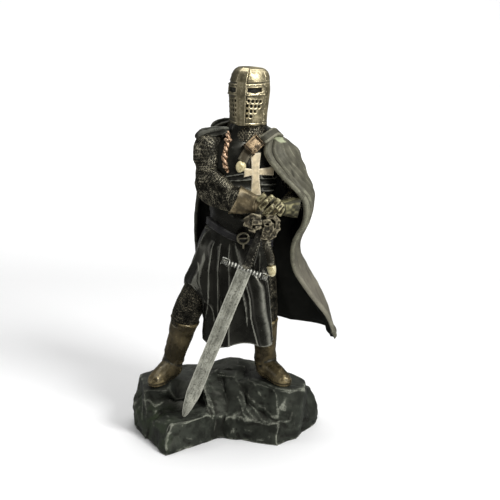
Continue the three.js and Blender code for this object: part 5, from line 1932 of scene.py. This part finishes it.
def light_up():
    """The soft lights and the pale surroundings."""
    for name, place, target, size, power in LIGHTS:
        light = bpy.data.lights.new(name, "AREA")
        light.shape = "RECTANGLE"
        light.size, light.size_y = size
        light.energy = power
        made = linked(name, light)
        made.location = place
        made.rotation_euler = (Vector(place) - Vector(target)).to_track_quat("Z", "Y").to_euler()
    world = bpy.data.worlds.new("studio")
    bpy.context.scene.world = world
    world.use_nodes = True
    background = world.node_tree.nodes["Background"]
    background.inputs["Color"].default_value = (1, 1, 1, 1)
    background.inputs["Strength"].default_value = SKY_STRENGTH


def make_stage():
    """Pale seamless floor, soft lights and the camera at the photograph's angle."""
    make_floor()
    light_up()
    scene = bpy.context.scene
    camera = linked("camera", bpy.data.cameras.new("camera"))
    camera.data.sensor_width = CAMERA_SENSOR
    camera.data.lens = CAMERA_LENS
    camera.location = CAMERA_PLACE
    camera.rotation_euler = (CAMERA_TILT, 0, 0)
    scene.camera = camera
    scene.view_settings.view_transform = "Standard"


# The add-on's steps, panel and run


class KNIGHT_OT_stage(bpy.types.Operator):
    """Set the pale floor, the soft lights and the camera"""

    bl_idname = "knight.stage"
    bl_label = "Stage"

    def execute(self, context):
        make_stage()
        return {"FINISHED"}


class KNIGHT_OT_rock(bpy.types.Operator):
    """Model and paint the rock base"""

    bl_idname = "knight.rock"
    bl_label = "Rock base"

    def execute(self, context):
        make_rock()
        return {"FINISHED"}


class KNIGHT_OT_helm(bpy.types.Operator):
    """Model and paint the great helm"""

    bl_idname = "knight.helm"
    bl_label = "Helm"

    def execute(self, context):
        make_helm()
        return {"FINISHED"}


class KNIGHT_OT_mail(bpy.types.Operator):
    """Model and paint the mail"""

    bl_idname = "knight.mail"
    bl_label = "Mail"

    def execute(self, context):
        make_mail()
        return {"FINISHED"}


class KNIGHT_OT_surcoat(bpy.types.Operator):
    """Model and paint the surcoat and its skirt"""

    bl_idname = "knight.surcoat"
    bl_label = "Surcoat"

    def execute(self, context):
        make_surcoat()
        return {"FINISHED"}


class KNIGHT_OT_belt(bpy.types.Operator):
    """Model and paint the belt, its ring and the scabbard"""

    bl_idname = "knight.belt"
    bl_label = "Belt"

    def execute(self, context):
        make_belt()
        return {"FINISHED"}


class KNIGHT_OT_badges(bpy.types.Operator):
    """Model and paint the cross, the shoulder strap and the twisted cord"""

    bl_idname = "knight.badges"
    bl_label = "Cross, strap and cord"

    def execute(self, context):
        make_badges()
        return {"FINISHED"}


class KNIGHT_OT_cloak(bpy.types.Operator):
    """Model and paint the cloak"""

    bl_idname = "knight.cloak"
    bl_label = "Cloak"

    def execute(self, context):
        make_cloak()
        return {"FINISHED"}


class KNIGHT_OT_sword(bpy.types.Operator):
    """Model and paint the sword"""

    bl_idname = "knight.sword"
    bl_label = "Sword"

    def execute(self, context):
        make_sword()
        return {"FINISHED"}


class KNIGHT_OT_gauntlets(bpy.types.Operator):
    """Model and paint the cuffs and hands"""

    bl_idname = "knight.gauntlets"
    bl_label = "Gauntlets"

    def execute(self, context):
        make_gauntlets()
        return {"FINISHED"}


class KNIGHT_OT_boots(bpy.types.Operator):
    """Model and paint the boots"""

    bl_idname = "knight.boots"
    bl_label = "Boots"

    def execute(self, context):
        make_boots()
        return {"FINISHED"}


OPERATORS = (
    KNIGHT_OT_stage,
    KNIGHT_OT_rock,
    KNIGHT_OT_helm,
    KNIGHT_OT_mail,
    KNIGHT_OT_surcoat,
    KNIGHT_OT_belt,
    KNIGHT_OT_badges,
    KNIGHT_OT_cloak,
    KNIGHT_OT_sword,
    KNIGHT_OT_gauntlets,
    KNIGHT_OT_boots,
)


class KNIGHT_PT_dresser(bpy.types.Panel):
    """Sizes, colours and the steps that make the statue"""

    bl_idname = "KNIGHT_PT_dresser"
    bl_label = "Knight statue"
    bl_space_type = "VIEW_3D"
    bl_region_type = "UI"
    bl_category = "Knight"

    def draw(self, context):
        for group in (context.scene.knight_sizes, context.scene.knight_colours):
            box = self.layout.box()
            for name in type(group).__annotations__:
                box.prop(group, name)
        for step in OPERATORS:
            self.layout.operator(step.bl_idname)


CLASSES = (KnightSizes, KnightColours, *OPERATORS, KNIGHT_PT_dresser)


def register():
    for each in CLASSES:
        bpy.utils.register_class(each)
    bpy.types.Scene.knight_sizes = bpy.props.PointerProperty(type=KnightSizes)
    bpy.types.Scene.knight_colours = bpy.props.PointerProperty(type=KnightColours)


def unregister():
    del bpy.types.Scene.knight_colours
    del bpy.types.Scene.knight_sizes
    for each in reversed(CLASSES):
        bpy.utils.unregister_class(each)


def main():
    register()
    bpy.ops.knight.stage()
    bpy.ops.knight.rock()
    bpy.ops.knight.helm()
    bpy.ops.knight.mail()
    bpy.ops.knight.surcoat()
    bpy.ops.knight.belt()
    bpy.ops.knight.badges()
    bpy.ops.knight.cloak()
    bpy.ops.knight.sword()
    bpy.ops.knight.gauntlets()
    bpy.ops.knight.boots()


if __name__ == "__main__":
    main()
